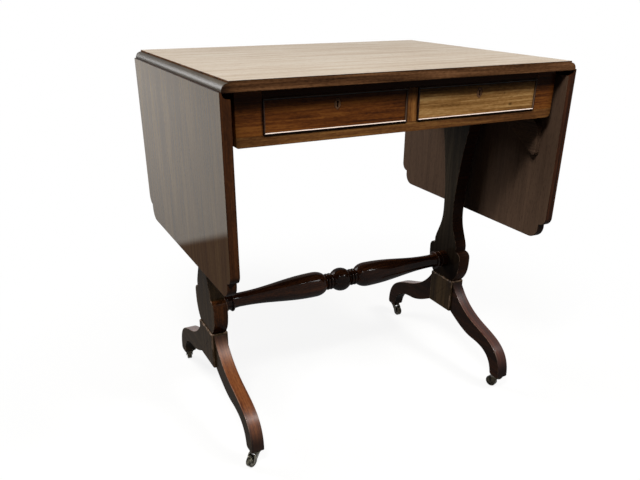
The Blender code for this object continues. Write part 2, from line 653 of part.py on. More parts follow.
def make_drawer(name, side):
    """One drawer: beaded front, grooved sides, a back and a bottom, all on one slide."""
    middle_x = side * (OPENING_INNER_X + OPENING_OUTER_X) / 2
    slide = pivot_at(name + "_drawer_slide", (middle_x, -FRIEZE_Y, DRAWER_BOTTOM_Z))
    inner_x = OPENING_INNER_X + DRAWER_CLEARANCE
    outer_x = OPENING_OUTER_X - DRAWER_CLEARANCE
    low, high = span(inner_x, outer_x, side)
    front_y = -FRIEZE_Y
    front_back_y = front_y + DRAWER_FRONT_THICKNESS
    tail_y = FRIEZE_BACK_Y - DRAWER_BACK_ROOM
    bead_back_y = front_y + BEAD_DEPTH
    bead_name = name + "_drawer_bead"
    bead_front_y = front_y - BEAD_PROUD
    bead = bead_frame(
        bead_name, low, high, DRAWER_BOTTOM_Z, DRAWER_TOP_Z, bead_front_y, bead_back_y, SHOW_WOOD
    )
    hold_on(bead, slide)
    rebate = BEAD_WIDTH + GAP
    panel_low = (low + rebate, front_y, DRAWER_BOTTOM_Z + rebate)
    panel_high = (high - rebate, front_back_y, DRAWER_TOP_Z - rebate)
    front = box(name + "_drawer_front", panel_low, panel_high, SHOW_WOOD)
    lap_low = (low, bead_back_y + GAP, DRAWER_BOTTOM_Z)
    combine(front, box(name + "_drawer_lap", lap_low, (high, front_back_y, DRAWER_TOP_Z)), "UNION")
    hold_on(front, slide)
    floor_z = DRAWER_BOTTOM_Z + DRAWER_BOTTOM_RISE
    floor_top = floor_z + DRAWER_BOTTOM_THICKNESS
    side_top = DRAWER_TOP_Z - DRAWER_SIDE_DROP
    for wall_name, outside, inward in (("inner", inner_x, 1), ("outer", outer_x, -1)):
        face = outside + inward * DRAWER_SIDE_THICKNESS
        groove = face - inward * DRAWER_GROOVE
        section = [(outside, DRAWER_BOTTOM_Z), (face, DRAWER_BOTTOM_Z), (face, floor_z - GAP)]
        section += [(groove, floor_z - GAP), (groove, floor_top + GAP), (face, floor_top + GAP)]
        section += [(face, side_top), (outside, side_top)]
        wall_title = f"{name}_drawer_{wall_name}_side"
        wall = board(wall_title, flipped(section, side), front_back_y + GAP, tail_y, "XZ", DRAWER_WOOD)
        hold_on(wall, slide)
    floor_x = span(inner_x + DRAWER_SIDE_THICKNESS - DRAWER_GROOVE + GAP,
                   outer_x - DRAWER_SIDE_THICKNESS + DRAWER_GROOVE - GAP, side)
    floor_low = (floor_x[0], front_back_y + GAP, floor_z)
    floor = box(name + "_drawer_bottom", floor_low, (floor_x[1], tail_y, floor_top), DRAWER_WOOD)
    hold_on(floor, slide)
    back_x = span(inner_x + DRAWER_SIDE_THICKNESS + GAP, outer_x - DRAWER_SIDE_THICKNESS - GAP, side)
    back_low = (back_x[0], tail_y - DRAWER_SIDE_THICKNESS, floor_top + GAP)
    back_high = (back_x[1], tail_y, DRAWER_TOP_Z - DRAWER_BACK_DROP)
    back = box(name + "_drawer_back", back_low, back_high, DRAWER_WOOD)
    hold_on(back, slide)


def standard_outline():
    """A trestle end seen along X: vase neck, collar and pear-shaped bulb."""
    foot = BLOCK_TOP_Z + GAP
    head = BEARER_BOTTOM_Z - GAP
    round_centre = (BULB_HALF - BULB_ROUND, COLLAR_BOTTOM_Z - BULB_ROUND)
    half = sweep((STANDARD_FOOT_HALF, foot), (BULB_HALF, round_centre[1]), BULB_PULLS)
    half += arc(round_centre, BULB_ROUND, 0, 90)
    half += [(COLLAR_HALF, COLLAR_BOTTOM_Z)]
    half += sweep((COLLAR_HALF, COLLAR_TOP_Z), (WAIST_HALF, WAIST_Z), FLARE_PULLS)
    half += sweep((WAIST_HALF, WAIST_Z), (STANDARD_TOP_HALF, head), NECK_PULLS)
    return mirrored(half)


def make_bearer(name, side):
    """The cross bearer that carries a standard below the frieze."""
    centre = (BEARER_HALF_LENGTH - BEARER_END_ROUND, BEARER_TOP_Z - BEARER_THICKNESS + BEARER_END_ROUND)
    half = arc(centre, BEARER_END_ROUND, -90, 0)
    half += [(BEARER_HALF_LENGTH, BEARER_TOP_Z)]
    low, high = span(FRIEZE_X - BEARER_WIDTH, FRIEZE_X, side)
    ease(board(name + "_bearer", mirrored(half), low, high, "YZ", MAHOGANY))


def make_standard(name, side):
    """A shaped trestle end with the socket for the stretcher's tenon."""
    low, high = span(STANDARD_INNER_X, STANDARD_INNER_X + STANDARD_THICKNESS, side)
    standard = ease(board(name + "_standard", standard_outline(), low, high, "YZ", MAHOGANY))
    mouth = (side * (STANDARD_INNER_X - STRETCHER_TENON_RADIUS), 0, STRETCHER_Z)
    end = (side * (STANDARD_INNER_X + STRETCHER_TENON_LENGTH + GAP), 0, STRETCHER_Z)
    socket = rod(name + "_stretcher_socket", mouth, end, STRETCHER_TENON_RADIUS + GAP, steps=TURNED_STEPS)
    combine(standard, socket, "DIFFERENCE")


def make_block(name, side):
    """The block between a standard and its two legs."""
    half = BLOCK_THICKNESS / 2
    low, high = span(TRESTLE_X - half, TRESTLE_X + half, side)
    top_corner = (high, BLOCK_HALF, BLOCK_TOP_Z)
    ease(box(name + "_block", (low, -BLOCK_HALF, BLOCK_BOTTOM_Z), top_corner, MAHOGANY), BLOCK_CHAMFER)


def leg_outline():
    """A leg seen along X: a cyma sweep from the block out to an upright toe."""
    root = BLOCK_HALF + GAP
    shoulder = BLOCK_TOP_Z - LEG_SHOULDER_DROP
    heel = LEG_REACH - TOE_DEPTH
    toe_z = CASTOR_HEIGHT + TOE_CHAMFER
    waist_top = (LEG_WAIST_Y, LEG_WAIST_TOP_Z)
    waist_bottom = (LEG_WAIST_Y, LEG_WAIST_BOTTOM_Z)
    outline = sweep((root, shoulder), waist_top, LEG_SHOULDER_PULLS)
    outline += sweep(waist_top, (LEG_REACH, toe_z), LEG_KNEE_PULLS)
    outline += [(LEG_REACH - TOE_CHAMFER, CASTOR_HEIGHT), (heel + TOE_CHAMFER, CASTOR_HEIGHT)]
    outline += sweep((heel, toe_z), waist_bottom, LEG_HEEL_PULLS)
    outline += sweep(waist_bottom, (root, BLOCK_BOTTOM_Z), LEG_UNDER_PULLS)
    return outline


def make_stretcher():
    """The turned stretcher: a ball in the middle, rings, a long baluster each way, collars and tenons."""
    length = STANDARD_INNER_X - GAP
    ball_end = math.sqrt(BALL_RADIUS ** 2 - BALL_NECK_RADIUS ** 2)
    ball_deg = math.degrees(math.asin(ball_end / BALL_RADIUS))
    ring_a = ball_end + RING_HALF_WIDTH + RING_SPACE
    ring_b = ring_a + 2 * RING_HALF_WIDTH + RING_SPACE
    start = ring_b + RING_HALF_WIDTH + RING_SPACE
    neck_x = length - NECK_INSET
    collar_x = length - COLLAR_RING_INSET
    fillet_x = length - STRETCHER_END_LENGTH
    ring_rise = RING_RADIUS - RING_HALF_WIDTH
    collar_rise = COLLAR_RING_RADIUS - RING_HALF_WIDTH
    half = [(x, r) for r, x in arc((0, 0), BALL_RADIUS, 0, ball_deg, RING_POINTS)]
    for ring in (ring_a, ring_b):
        half += [(ring - RING_HALF_WIDTH, BALL_NECK_RADIUS)]
        half += arc((ring, ring_rise), RING_HALF_WIDTH, 180, 0, RING_POINTS)
        half += [(ring + RING_HALF_WIDTH, BALL_NECK_RADIUS)]
    half += sweep((start, BALL_NECK_RADIUS), (BALUSTER_PEAK_X, BALUSTER_RADIUS), SWELL_PULLS)
    half += sweep((BALUSTER_PEAK_X, BALUSTER_RADIUS), (neck_x, NECK_RADIUS), TAPER_PULLS)
    half += [(collar_x - RING_HALF_WIDTH, NECK_RADIUS + RING_HALF_WIDTH / 2)]
    half += arc((collar_x, collar_rise), RING_HALF_WIDTH, 180, 0, RING_POINTS)
    half += [(fillet_x, NECK_RADIUS + RING_HALF_WIDTH / 2), (fillet_x, STRETCHER_END_RADIUS)]
    half += [(length, STRETCHER_END_RADIUS), (length, STRETCHER_TENON_RADIUS)]
    half += [(length + STRETCHER_TENON_LENGTH, STRETCHER_TENON_RADIUS), (length + STRETCHER_TENON_LENGTH, 0)]
    half = distinct(half)
    profile = [(r, x) for x, r in reversed(half)] + [(r, -x) for x, r in half[1:]]
    stretcher = turned("stretcher", profile, MAHOGANY)
    stretcher.rotation_euler = (0, math.pi / 2, 0)
    stretcher.location = (0, 0, STRETCHER_Z)


def make_trestles():
    """Both trestle ends and the stretcher that ties them."""
    make_stretcher()
    for name, side in SIDES.items():
        make_bearer(name, side)
        make_standard(name, side)
        make_block(name, side)
        half = LEG_THICKNESS / 2
        low, high = span(TRESTLE_X - half, TRESTLE_X + half, side)
        for end_name, end in ENDS.items():
            ease(board(f"{name}_{end_name}_leg", flipped(leg_outline(), end), low, high, "YZ", MAHOGANY))


def make_castor_plate(name, swivel):
    """The plate under a toe with the pintle that the horn turns on."""
    head_top = BRIDGE_BOTTOM_Z - GAP
    head_bottom = head_top - PINTLE_HEAD_THICKNESS
    profile = [(0, CASTOR_TOP_Z), (CASTOR_PLATE_RADIUS, CASTOR_TOP_Z), (CASTOR_PLATE_RADIUS, PLATE_BOTTOM_Z)]
    profile += [(PINTLE_RADIUS, PLATE_BOTTOM_Z), (PINTLE_RADIUS, head_top), (PINTLE_HEAD_RADIUS, head_top)]
    profile += [(PINTLE_HEAD_RADIUS, head_bottom), (0, head_bottom)]
    plate = turned(name + "_castor_plate", profile, BRASS, SMALL_STEPS)
    plate.parent = swivel


def make_castor_horn(name, swivel):
    """The horn: a bridge round the pintle, two swept cheeks and the axle between them."""
    inner = WHEEL_WIDTH / 2 + 2 * GAP
    outer = inner + CHEEK_THICKNESS
    top = BRIDGE_TOP_Z
    horn = rod(name + "_castor_horn", (0, 0, BRIDGE_BOTTOM_Z), (0, 0, top), BRIDGE_RADIUS, BRASS)
    boss = arc((TRAIL, WHEEL_RADIUS), CHEEK_BOSS_RADIUS, -120, 60)
    outline = boss + sweep(boss[-1], (0, top), CHEEK_PULLS)
    outline += [(-BRIDGE_RADIUS / 2, top), (-BRIDGE_RADIUS / 2, BRIDGE_BOTTOM_Z)]
    for tag, low, high in (("near", -outer, -inner), ("far", inner, outer)):
        combine(horn, board(f"{name}_castor_{tag}_cheek", outline, low, high, "XZ"), "UNION")
    bridge_low = (-BRIDGE_RADIUS / 2, -outer + GAP, BRIDGE_BOTTOM_Z + GAP)
    bridge_high = (BRIDGE_RADIUS / 2, outer - GAP, top - GAP)
    combine(horn, box(name + "_castor_bridge", bridge_low, bridge_high), "UNION")
    start = (TRAIL, -outer + GAP, WHEEL_RADIUS)
    combine(horn, rod(name + "_castor_axle", start, (TRAIL, outer - GAP, WHEEL_RADIUS), AXLE_RADIUS), "UNION")
    bore_top = (0, 0, top + BRIDGE_THICKNESS)
    bore_foot = (0, 0, BRIDGE_BOTTOM_Z - BRIDGE_THICKNESS)
    bore = rod(name + "_castor_bore", bore_foot, bore_top, PINTLE_RADIUS + GAP)
    combine(horn, bore, "DIFFERENCE")
    for tool in [change.object for change in horn.modifiers]:
        tool.parent = swivel
    horn.parent = swivel


def make_castor_wheel(name, swivel):
    """A wheel bored for the axle, its rim rounded over."""
    half = WHEEL_WIDTH / 2
    bore = AXLE_RADIUS + GAP
    rim = WHEEL_RADIUS - WHEEL_EDGE
    profile = [(bore, half)]
    profile += arc((rim, half - WHEEL_EDGE), WHEEL_EDGE, 90, 0, RING_POINTS - 1)
    profile += arc((rim, WHEEL_EDGE - half), WHEEL_EDGE, 0, -90, RING_POINTS - 1)
    profile += [(bore, -half), (bore, half)]
    wheel = turned(name + "_castor_wheel", profile, BRASS, WHEEL_STEPS)
    wheel.rotation_euler = (math.pi / 2, 0, 0)
    wheel.location = (TRAIL, 0, WHEEL_RADIUS)
    wheel.parent = swivel


def make_castors():
    """Four castors, each turned to its own heading about its pintle."""
    for name, side in SIDES.items():
        for end_name, end in ENDS.items():
            tag = f"{name}_{end_name}"
            foot = (side * TRESTLE_X, end * TOE_Y, 0)
            swivel = pivot_at(tag + "_castor_swivel", foot, CASTOR_HEADING_DEG[tag])
            make_castor_plate(tag, swivel)
            make_castor_horn(tag, swivel)
            make_castor_wheel(tag, swivel)


def main():
    """Build every piece of the table."""
    make_top_and_leaves()
    make_frieze()
    for name, side in SIDES.items():
        make_drawer(name, side)
    make_trestles()
    make_castors()


main()
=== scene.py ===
"""Looks of a mahogany sofa table: polished wood, metal fittings and a plain studio stage.

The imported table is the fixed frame. Every piece here is worked out in the table's own axes, in metres,
and rides on the body that carries the solid it stands for.
"""
import json
import math

import bmesh
import bpy
import numpy as np
from mathutils import Matrix, Vector

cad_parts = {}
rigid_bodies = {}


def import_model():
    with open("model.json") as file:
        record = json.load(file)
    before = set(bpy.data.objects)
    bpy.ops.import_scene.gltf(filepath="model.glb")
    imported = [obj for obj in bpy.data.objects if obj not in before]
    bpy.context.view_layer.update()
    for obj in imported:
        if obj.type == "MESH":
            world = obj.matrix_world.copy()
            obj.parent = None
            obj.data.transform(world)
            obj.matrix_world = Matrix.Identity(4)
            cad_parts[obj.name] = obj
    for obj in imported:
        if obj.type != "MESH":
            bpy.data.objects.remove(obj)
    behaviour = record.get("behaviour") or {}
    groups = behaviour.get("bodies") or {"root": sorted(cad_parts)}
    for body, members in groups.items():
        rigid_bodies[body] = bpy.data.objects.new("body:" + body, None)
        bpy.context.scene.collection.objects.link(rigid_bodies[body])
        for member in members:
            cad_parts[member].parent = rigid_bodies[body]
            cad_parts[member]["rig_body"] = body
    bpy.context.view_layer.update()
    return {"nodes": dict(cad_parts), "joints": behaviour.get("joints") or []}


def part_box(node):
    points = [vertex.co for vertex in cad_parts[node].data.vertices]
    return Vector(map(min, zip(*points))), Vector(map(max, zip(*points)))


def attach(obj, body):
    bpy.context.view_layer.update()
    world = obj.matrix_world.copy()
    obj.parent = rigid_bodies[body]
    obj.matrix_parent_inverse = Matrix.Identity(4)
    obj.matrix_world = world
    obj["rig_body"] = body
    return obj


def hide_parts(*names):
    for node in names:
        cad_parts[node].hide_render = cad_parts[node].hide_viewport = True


bl_info = {
    "name": "Sofa Table Looks",
    "version": (1, 0, 0),
    "blender": (4, 5, 0),
    "location": "View3D > Sidebar > Sofa Table",
    "description": "Polished pieces, fittings and studio stage for a drop-leaf sofa table",
    "category": "Object",
}

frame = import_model()

# Sides along X, ends along Y, and the names of the four corners
SIDES = {"left": -1, "right": 1}
ENDS = {"front": -1, "back": 1}
TAGS = [f"{side}_{end}" for side in SIDES for end in ENDS]

# Top and leaves
GAP = 0.0003
PIN_COVER = 0.0025
POCKET_DEPTH = 6 * GAP
LEAF_UPPER_ROUND = 0.018
LEAF_LOWER_ROUND = 0.024
LEAF_NICK = 0.007

# Screws of the leaf hinges
SCREW_RADIUS = 0.0026
SCREW_PROUD = 0.0003
SCREW_ARRIS = SCREW_PROUD / 3
SCREW_SLOT = 0.0006
SCREW_DROP = 0.017
SCREW_SPREAD = 0.015

# Frieze and drawers
LOWER_RAIL_ROUND = 0.008
LEFT_RAIL_ROUND = 0.003
BEAD_WIDTH = 0.003
BEAD_REBATE = 0.0033
BEAD_SEAT = 0.0063
SHIELD_HALF_WIDTH = 0.0054
SHIELD_TOP_HALF = 0.0026
SHIELD_RISE = 0.0088
SHIELD_DROP = 0.0092
SHIELD_SHOULDER = 0.0036
SHIELD_PROUD = 0.0002
SHIELD_DEPTH = 0.0012
SHIELD_SEAT_GAP = 0.0008
SHIELD_ABOVE_MIDDLE = 0.011
SHIELD_ASIDE = {"left": -0.002, "right": 0.0}
KEYHOLE_RADIUS = 0.0021
KEYHOLE_RISE = 0.0028
KEYHOLE_DROP = 0.0048
KEYHOLE_SLOT = 0.0026
LOCK_HALF_WIDTH = 0.024
LOCK_HEIGHT = 0.034
LOCK_THICKNESS = 0.006
LOCK_TOP_DROP = 0.0006
BOLT_HALF_WIDTH = 0.006
BOLT_INSET = LOCK_THICKNESS / 4
BOLT_THICKNESS = LOCK_THICKNESS / 2

# Trestle ends
WAIST_HALF = 0.0185
WAIST_Z = 0.366
STANDARD_TOP_HALF = 0.056
STANDARD_FOOT_HALF = 0.038
COLLAR_HALF = 0.0415
COLLAR_TOP_Z = 0.288
COLLAR_BOTTOM_Z = 0.277
BULB_ROUND = 0.0145
BEARER_END_ROUND = 0.012
BLOCK_CHAMFER = 0.003
LEG_SHOULDER_DROP = 0.004
LEG_WAIST_Y = 0.128
LEG_WAIST_TOP_Z = 0.130
LEG_WAIST_BOTTOM_Z = 0.0895
TOE_DEPTH = 0.030
TOE_CHAMFER = 0.004

# Stretcher
STRETCHER_Z = 0.2475
BALL_RADIUS = 0.026
BALL_NECK_RADIUS = 0.0145
RING_RADIUS = 0.0185
RING_HALF_WIDTH = 0.003
RING_SPACE = 0.0015
BALUSTER_RADIUS = 0.0275
BALUSTER_PEAK_X = 0.067
NECK_RADIUS = 0.015
NECK_INSET = 0.042
COLLAR_RING_RADIUS = 0.0215
COLLAR_RING_INSET = 0.0265
STRETCHER_END_RADIUS = 0.0195
STRETCHER_END_LENGTH = 0.016
DARK_RING_REACH = 0.0375

# Castors
WHEEL_BORE = 0.0023
WHEEL_HUB = 0.0050
WHEEL_WEB = 0.0090
WHEEL_DISH = 0.0011
WHEEL_EDGE = 0.002

# Shares of a curve's run and rise by which it leaves its first end and reaches its last
BULB_PULLS = ((1.0, 0.33), (0.0, 0.33))
FLARE_PULLS = ((0.24, 0.30), (0.0, 0.50))
NECK_PULLS = ((0.0, 0.36), (0.48, 0.30))
LEG_SHOULDER_PULLS = ((0.20, 0.45), (0.45, 0.20))
LEG_KNEE_PULLS = ((0.46, 0.18), (0.0, 0.76))
LEG_HEEL_PULLS = ((0.08, 0.70), (0.59, 0.05))
LEG_UNDER_PULLS = ((0.35, 0.06), (0.30, 0.42))
SWELL_PULLS = ((0.20, 0.70), (0.45, 0.0))
TAPER_PULLS = ((0.40, 0.0), (0.40, 0.0))

# Fineness of the meshes and of their rounded arrises
CURVE_POINTS = 28
ARC_POINTS = 14
EASE_POINTS = 4
RIM_POINTS = 4
LATHE_STEPS = 72
CORNER_DEG = 32.0
CORNER_SHARE = 0.4
EASED_EDGE_DEG = 35.0
EASED_EDGE_WIDTHS = 4
EASED_SEGMENTS = 2
ROUND_PROFILE = 0.5
SHARP_SHADE_DEG = 48.0
FLAT_ANGLE = 0.0005
SAME_POINT = 0.000002
FINE_ARRIS = 0.0003
BOLT_ARRIS = FINE_ARRIS / 3

# Shares of a normal by which a face counts as facing an axis, square to it, upward, slanting, hardly turned
# to it or given a painted highlight on a bead, and the depth below the top within which its faces are faded
FACE_ON = 0.995
SQUARE = 0.9
UPWARD = 0.8
SLANT = 0.5
FLAT = 0.1
HIGHLIGHT_BEAD = 0.35
SHOW_DEPTH = 0.0008

# Sockets of a colour Mix node, and plain white
MIX_FACTOR, MIX_A, MIX_B, MIX_RESULT = 0, 6, 7, 2
WHITE = (1.0, 1.0, 1.0, 1.0)

# Columns of the table's axes that a flat outline (u, v) thickened along w takes
PLANES = {"XY": (0, 1, 2), "XZ": (0, 2, 1), "YZ": (1, 2, 0)}


def linear(code):
    """Turn an sRGB hex code into linear red, green and blue."""
    shares = [int(code[i:i + 2], 16) / 255 for i in (1, 3, 5)]
    return tuple(s / 12.92 if s <= 0.04045 else ((s + 0.055) / 1.055) ** 2.4 for s in shares)


def colour(name, code, description):
    """A colour property that starts from an sRGB hex code."""
    return bpy.props.FloatVectorProperty(
        name=name, description=description, subtype="COLOR", size=3, min=0, max=1, default=linear(code)
    )


def length(name, metres, description):
    """A length property in metres."""
    return bpy.props.FloatProperty(
        name=name, description=description, default=metres, min=0,
        unit="LENGTH", subtype="DISTANCE", precision=5,
    )


def angle(name, degrees, description):
    """An angle property that starts from degrees."""
    return bpy.props.FloatProperty(
        name=name, description=description, default=math.radians(degrees), subtype="ANGLE"
    )


def power(name, watts, description):
    """A lamp's power property in watts."""
    return bpy.props.FloatProperty(
        name=name, description=description, default=watts, min=0, subtype="POWER"
    )


# Label, place and the dark, middle and light codes of each wood's tones
TONES = {
    # The top's pale tones are partly a painted sheen
    "top": ("Top", "the sun-faded top", "#7D6A53", "#A09281", "#B2AB9F"),
    "edge": ("Top Edge", "the edges of the top", "#28160A", "#533620", "#745034"),
    "red": ("Mahogany", "the darkest mahogany", "#0C0503", "#1F1008", "#3C2010"),
    "turned": ("Turned", "the turned stretcher", "#140905", "#2C170C", "#4A2815"),
    "leaf": ("Leaf", "the leaves' outer faces", "#382A18", "#5C482B", "#7A643F"),
    "rim": ("Rim", "the edges of the leaves and trestle ends", "#1A0C06", "#3B200E", "#583218"),
    "ovolo": ("Ovolo", "the moulded ends of the top", "#1C1610", "#3A3126", "#524738"),
    "end": ("Trestle", "the polished sides of the trestles", "#170F09", "#312415", "#4B3A25"),
    "shin": ("Dark Leg Face", "the faces of the darker legs", "#1E0C07", "#401D11", "#64361F"),
    "leg": ("Leg Face", "the leg with a rubbed face", "#34190C", "#6A3A1C", "#8E5830"),
    "gold": ("Frieze", "the golden frieze wood", "#351F0E", "#603C1E", "#7F582E"),
    "post": ("Division", "the division between the drawers", "#3E2410", "#744923", "#986936"),
    "brown": ("Left Drawer", "the left drawer front", "#32180A", "#5C3213", "#76471D"),
    "pale": ("Right Drawer", "the right drawer front", "#5B3D1C", "#886135", "#AA8553"),
    "dry": ("Bare Wood", "unpolished mahogany", "#2E2118", "#584436", "#735A47"),
    "oak": ("Oak", "the drawer linings", "#6B4A2A", "#96703F", "#B08C58"),
    "plate": ("Key Plate", "the inlaid key plates", "#3A2818", "#6B4C35", "#8A6A50"),
    # The bead tones are nearly white, a painted highlight on the beads' lower runs
    "bead": ("Rubbed Bead", "the rubbed sides of the beads", "#B49C8C", "#DCC8BA", "#EBDDD2"),
}
TONE_WORDS = {"dark": "Darker streaks of", "middle": "Body colour of", "light": "Lighter streaks of"}

# Label, code and description of each single colour
SINGLE_COLOURS = {
    # The leaf foot colour is a painted dark reflection
    "leaf_foot": ("Leaf Foot", "#4A3133", "Darkening at the foot of the rubbed leaf"),
    "worn_edge": ("Worn Edge", "#8F7562", "Wood showing where the polish has rubbed off an arris"),
    "brass": ("Brass", "#3C372D", "Brass where the tarnish is thin"),
    "brass_tarnish": ("Brass Tarnish", "#0E0C0A", "Tarnish in the brass"),
    "clean_brass": ("Clean Brass", "#6C685A", "Brass of the castor that is rubbed bright"),
    "clean_brass_tarnish": ("Clean Brass Tarnish", "#12110E", "Tarnish left on that castor"),
    "iron": ("Iron", "#4A4642", "Hinge iron"),
    "iron_rust": ("Iron Rust", "#33241A", "Rust on the hinge iron"),
}


class SofaTableColours(bpy.types.PropertyGroup):
    """Colours of the woods and metals, one property for each tone and each single colour."""

    __annotations__ = {
        f"{key}_{tone}": colour(f"{label} {tone.title()}", code, f"{words} {place}")
        for key, (label, place, *codes) in TONES.items()
        for (tone, words), code in zip(TONE_WORDS.items(), codes)
    } | {key: colour(*row) for key, row in SINGLE_COLOURS.items()}


class SofaTableSizes(bpy.types.PropertyGroup):
    """Sizes of the finish."""

    board_arris: length("Board Arris", 0.0011, "Rounding on the arrises of the top and leaves")
    leg_arris: length("Leg Arris", 0.0013, "Rounding on the arrises of the legs and trestle ends")
    joint_arris: length("Joint Arris", 0.0002, "Rounding where two frieze pieces meet")
    metal_arris: length("Metal Arris", 0.00025, "Rounding on metal edges")
    figure_width: length("Figure Width", 0.011, "Width of the broad stripes in the wood")
    figure_length: length("Figure Length", 0.30, "Length of the broad stripes in the wood")
    streak_width: length("Streak Width", 0.0028, "Width of the fine streaks in the wood")
    streak_length: length("Streak Length", 0.11, "Length of the fine streaks in the wood")
    fleck_width: length("Fleck Width", 0.0022, "Width of the short flecks in the wood")
    fleck_length: length("Fleck Length", 0.007, "Length of the short flecks in the wood")
    pore_width: length("Pore Width", 0.0011, "Width of a drawn pore, some four times the real one")
    pore_length: length("Pore Length", 0.013, "Length of a drawn pore, some four times the real one")
    cloud_width: length("Cloud Width", 0.12, "Width of the cloudy patches in the wood")
    cloud_length: length("Cloud Length", 0.24, "Length of the cloudy patches in the wood")
    rub_width: length("Rub Width", 0.009, "Width of the patches rubbed off an arris")
    rub_length: length("Rub Length", 0.020, "Length of the patches rubbed off an arris")


class SofaTableStage(bpy.types.PropertyGroup):
    """Camera, lamps and floor."""

    azimuth: angle("Azimuth", -27.2276, "Bearing of the camera from the front")
    elevation: angle("Elevation", 26.3656, "Height angle of the camera")
    roll: angle("Roll", 0.3583, "Tilt of the camera about its own axis")
    distance: length("Distance", 1.5059, "From the camera to the point it aims at")
    aim: bpy.props.FloatVectorProperty(
        name="Aim", description="Point the camera aims at", subtype="TRANSLATION", unit="LENGTH",
        size=3, default=(-0.0433, 0.0, 0.1772),
    )
    lens: bpy.props.FloatProperty(
        name="Lens", description="Focal length on a sensor 36 mm wide", default=37.3165, min=1,
        subtype="DISTANCE_CAMERA",
    )
    shift: bpy.props.FloatVectorProperty(
        name="Shift", description="Shift of the frame, in frame widths", size=2, default=(-0.00427, 0.11076)
    )
    key_power: power("Key Lamps", 39.0, "Power of each soft key lamp")
    glint_power: power("Glint Lamps", 7.5, "Power of each small lamp that draws the glints")
    window_power: power("Window Lamp", 52.0, "Power of the broad lamp behind the table")
    window_size: length("Window Lamp Size", 1.2, "Edge of the broad lamp behind the table")
    key_size: length("Key Lamp Size", 0.62, "Edge of each square key lamp")
    glint_size: length("Glint Lamp Size", 0.14, "Edge of each small lamp")
    lamp_distance: length("Lamp Distance", 2.5, "From the table to each lamp")
    room_light: bpy.props.FloatProperty(
        name="Room Light", description="Strength of the light from all round", default=0.02, min=0.0
    )
    floor: colour("Floor", "#F4F2EE", "Pale studio floor")
    floor_bounce: colour("Floor Bounce", "#3A3834", "Colour of the light the floor throws back")
    floor_radius: length("Floor Radius", 14.0, "Radius of the floor disc")
    shadow_radius: length("Shadow Radius", 1.2, "Distance over which the floor's shadows fade out")


def arc(centre, radius, start_deg, end_deg, points=ARC_POINTS):
    """Points on a circle: the centre plus radius times (cos, sin) of evenly spaced angles."""
    turn = np.radians(np.linspace(start_deg, end_deg, points))
    return np.asarray(centre, float) + radius * np.stack([np.cos(turn), np.sin(turn)], axis=1)


def sweep(start, end, pulls, points=CURVE_POINTS):
    """A cubic curve between two ends, its two handles given as shares of the run and rise."""
    start = np.asarray(start, float)
    end = np.asarray(end, float)
    near = start + (end - start) * pulls[0]
    far = end - (end - start) * pulls[1]
    t = np.linspace(0, 1, points)[:, None]
    s = 1 - t
    return s ** 3 * start + 3 * s ** 2 * t * near + 3 * s * t ** 2 * far + t ** 3 * end


def outline_of(*stretches):
    """Join stretches of points into one closed outline without repeats, run anticlockwise."""
    points = np.vstack([np.atleast_2d(np.asarray(stretch, float)) for stretch in stretches])
    points = points[np.linalg.norm(points - np.roll(points, 1, axis=0), axis=1) > SAME_POINT]
    ahead = np.roll(points, -1, axis=0)
    area = np.sum(points[:, 0] * ahead[:, 1] - ahead[:, 0] * points[:, 1])
    return points if area > 0 else points[::-1]


def mirrored(*stretches):
    """Close a half outline on the +u side by its mirror image across u = 0."""
    half = np.vstack([np.atleast_2d(np.asarray(stretch, float)) for stretch in stretches])
    return outline_of(half, half[::-1] * (-1, 1))


def flipped(outline, side):
    """Mirror an outline across u = 0 where side is -1."""
    return outline_of(outline * (side, 1))


def rectangle(low_u, low_v, high_u, high_v):
    """The corners of a rectangle, anticlockwise."""
    return np.array([(low_u, low_v), (high_u, low_v), (high_u, high_v), (low_u, high_v)], float)


def eased(outline, width):
    """Round each sharp outward corner by a parabola that starts and ends one width from the corner.

    A corner p with unit steps b back and f forward becomes p + width ((1-t)^2 b + t^2 f). Returns the new
    outline and, for the edge after each point, whether it lies on a rounded corner.
    """
    back = np.roll(outline, 1, axis=0) - outline
    ahead = np.roll(outline, -1, axis=0) - outline
    back_run = np.linalg.norm(back, axis=1, keepdims=True)
    ahead_run = np.linalg.norm(ahead, axis=1, keepdims=True)
    back = back / back_run
    ahead = ahead / ahead_run
    turn = np.arccos(np.clip(-np.sum(back * ahead, axis=1), -1, 1))
    outward = ahead[:, 0] * back[:, 1] - ahead[:, 1] * back[:, 0] > 0
    sharp = (turn > math.radians(CORNER_DEG)) & outward & (width > 0)
    reach = np.minimum(width, CORNER_SHARE * np.minimum(back_run, ahead_run))[:, :, None]
    t = np.linspace(0, 1, EASE_POINTS)[None, :, None]
    curve = outline[:, None] + reach * ((1 - t) ** 2 * back[:, None] + t ** 2 * ahead[:, None])
    step = np.arange(EASE_POINTS)
    points = np.where(sharp[:, None, None], curve, outline[:, None])
    kept = sharp[:, None] | (step == 0)
    worn = sharp[:, None] & (step < EASE_POINTS - 1)
    return points[kept], worn[kept]


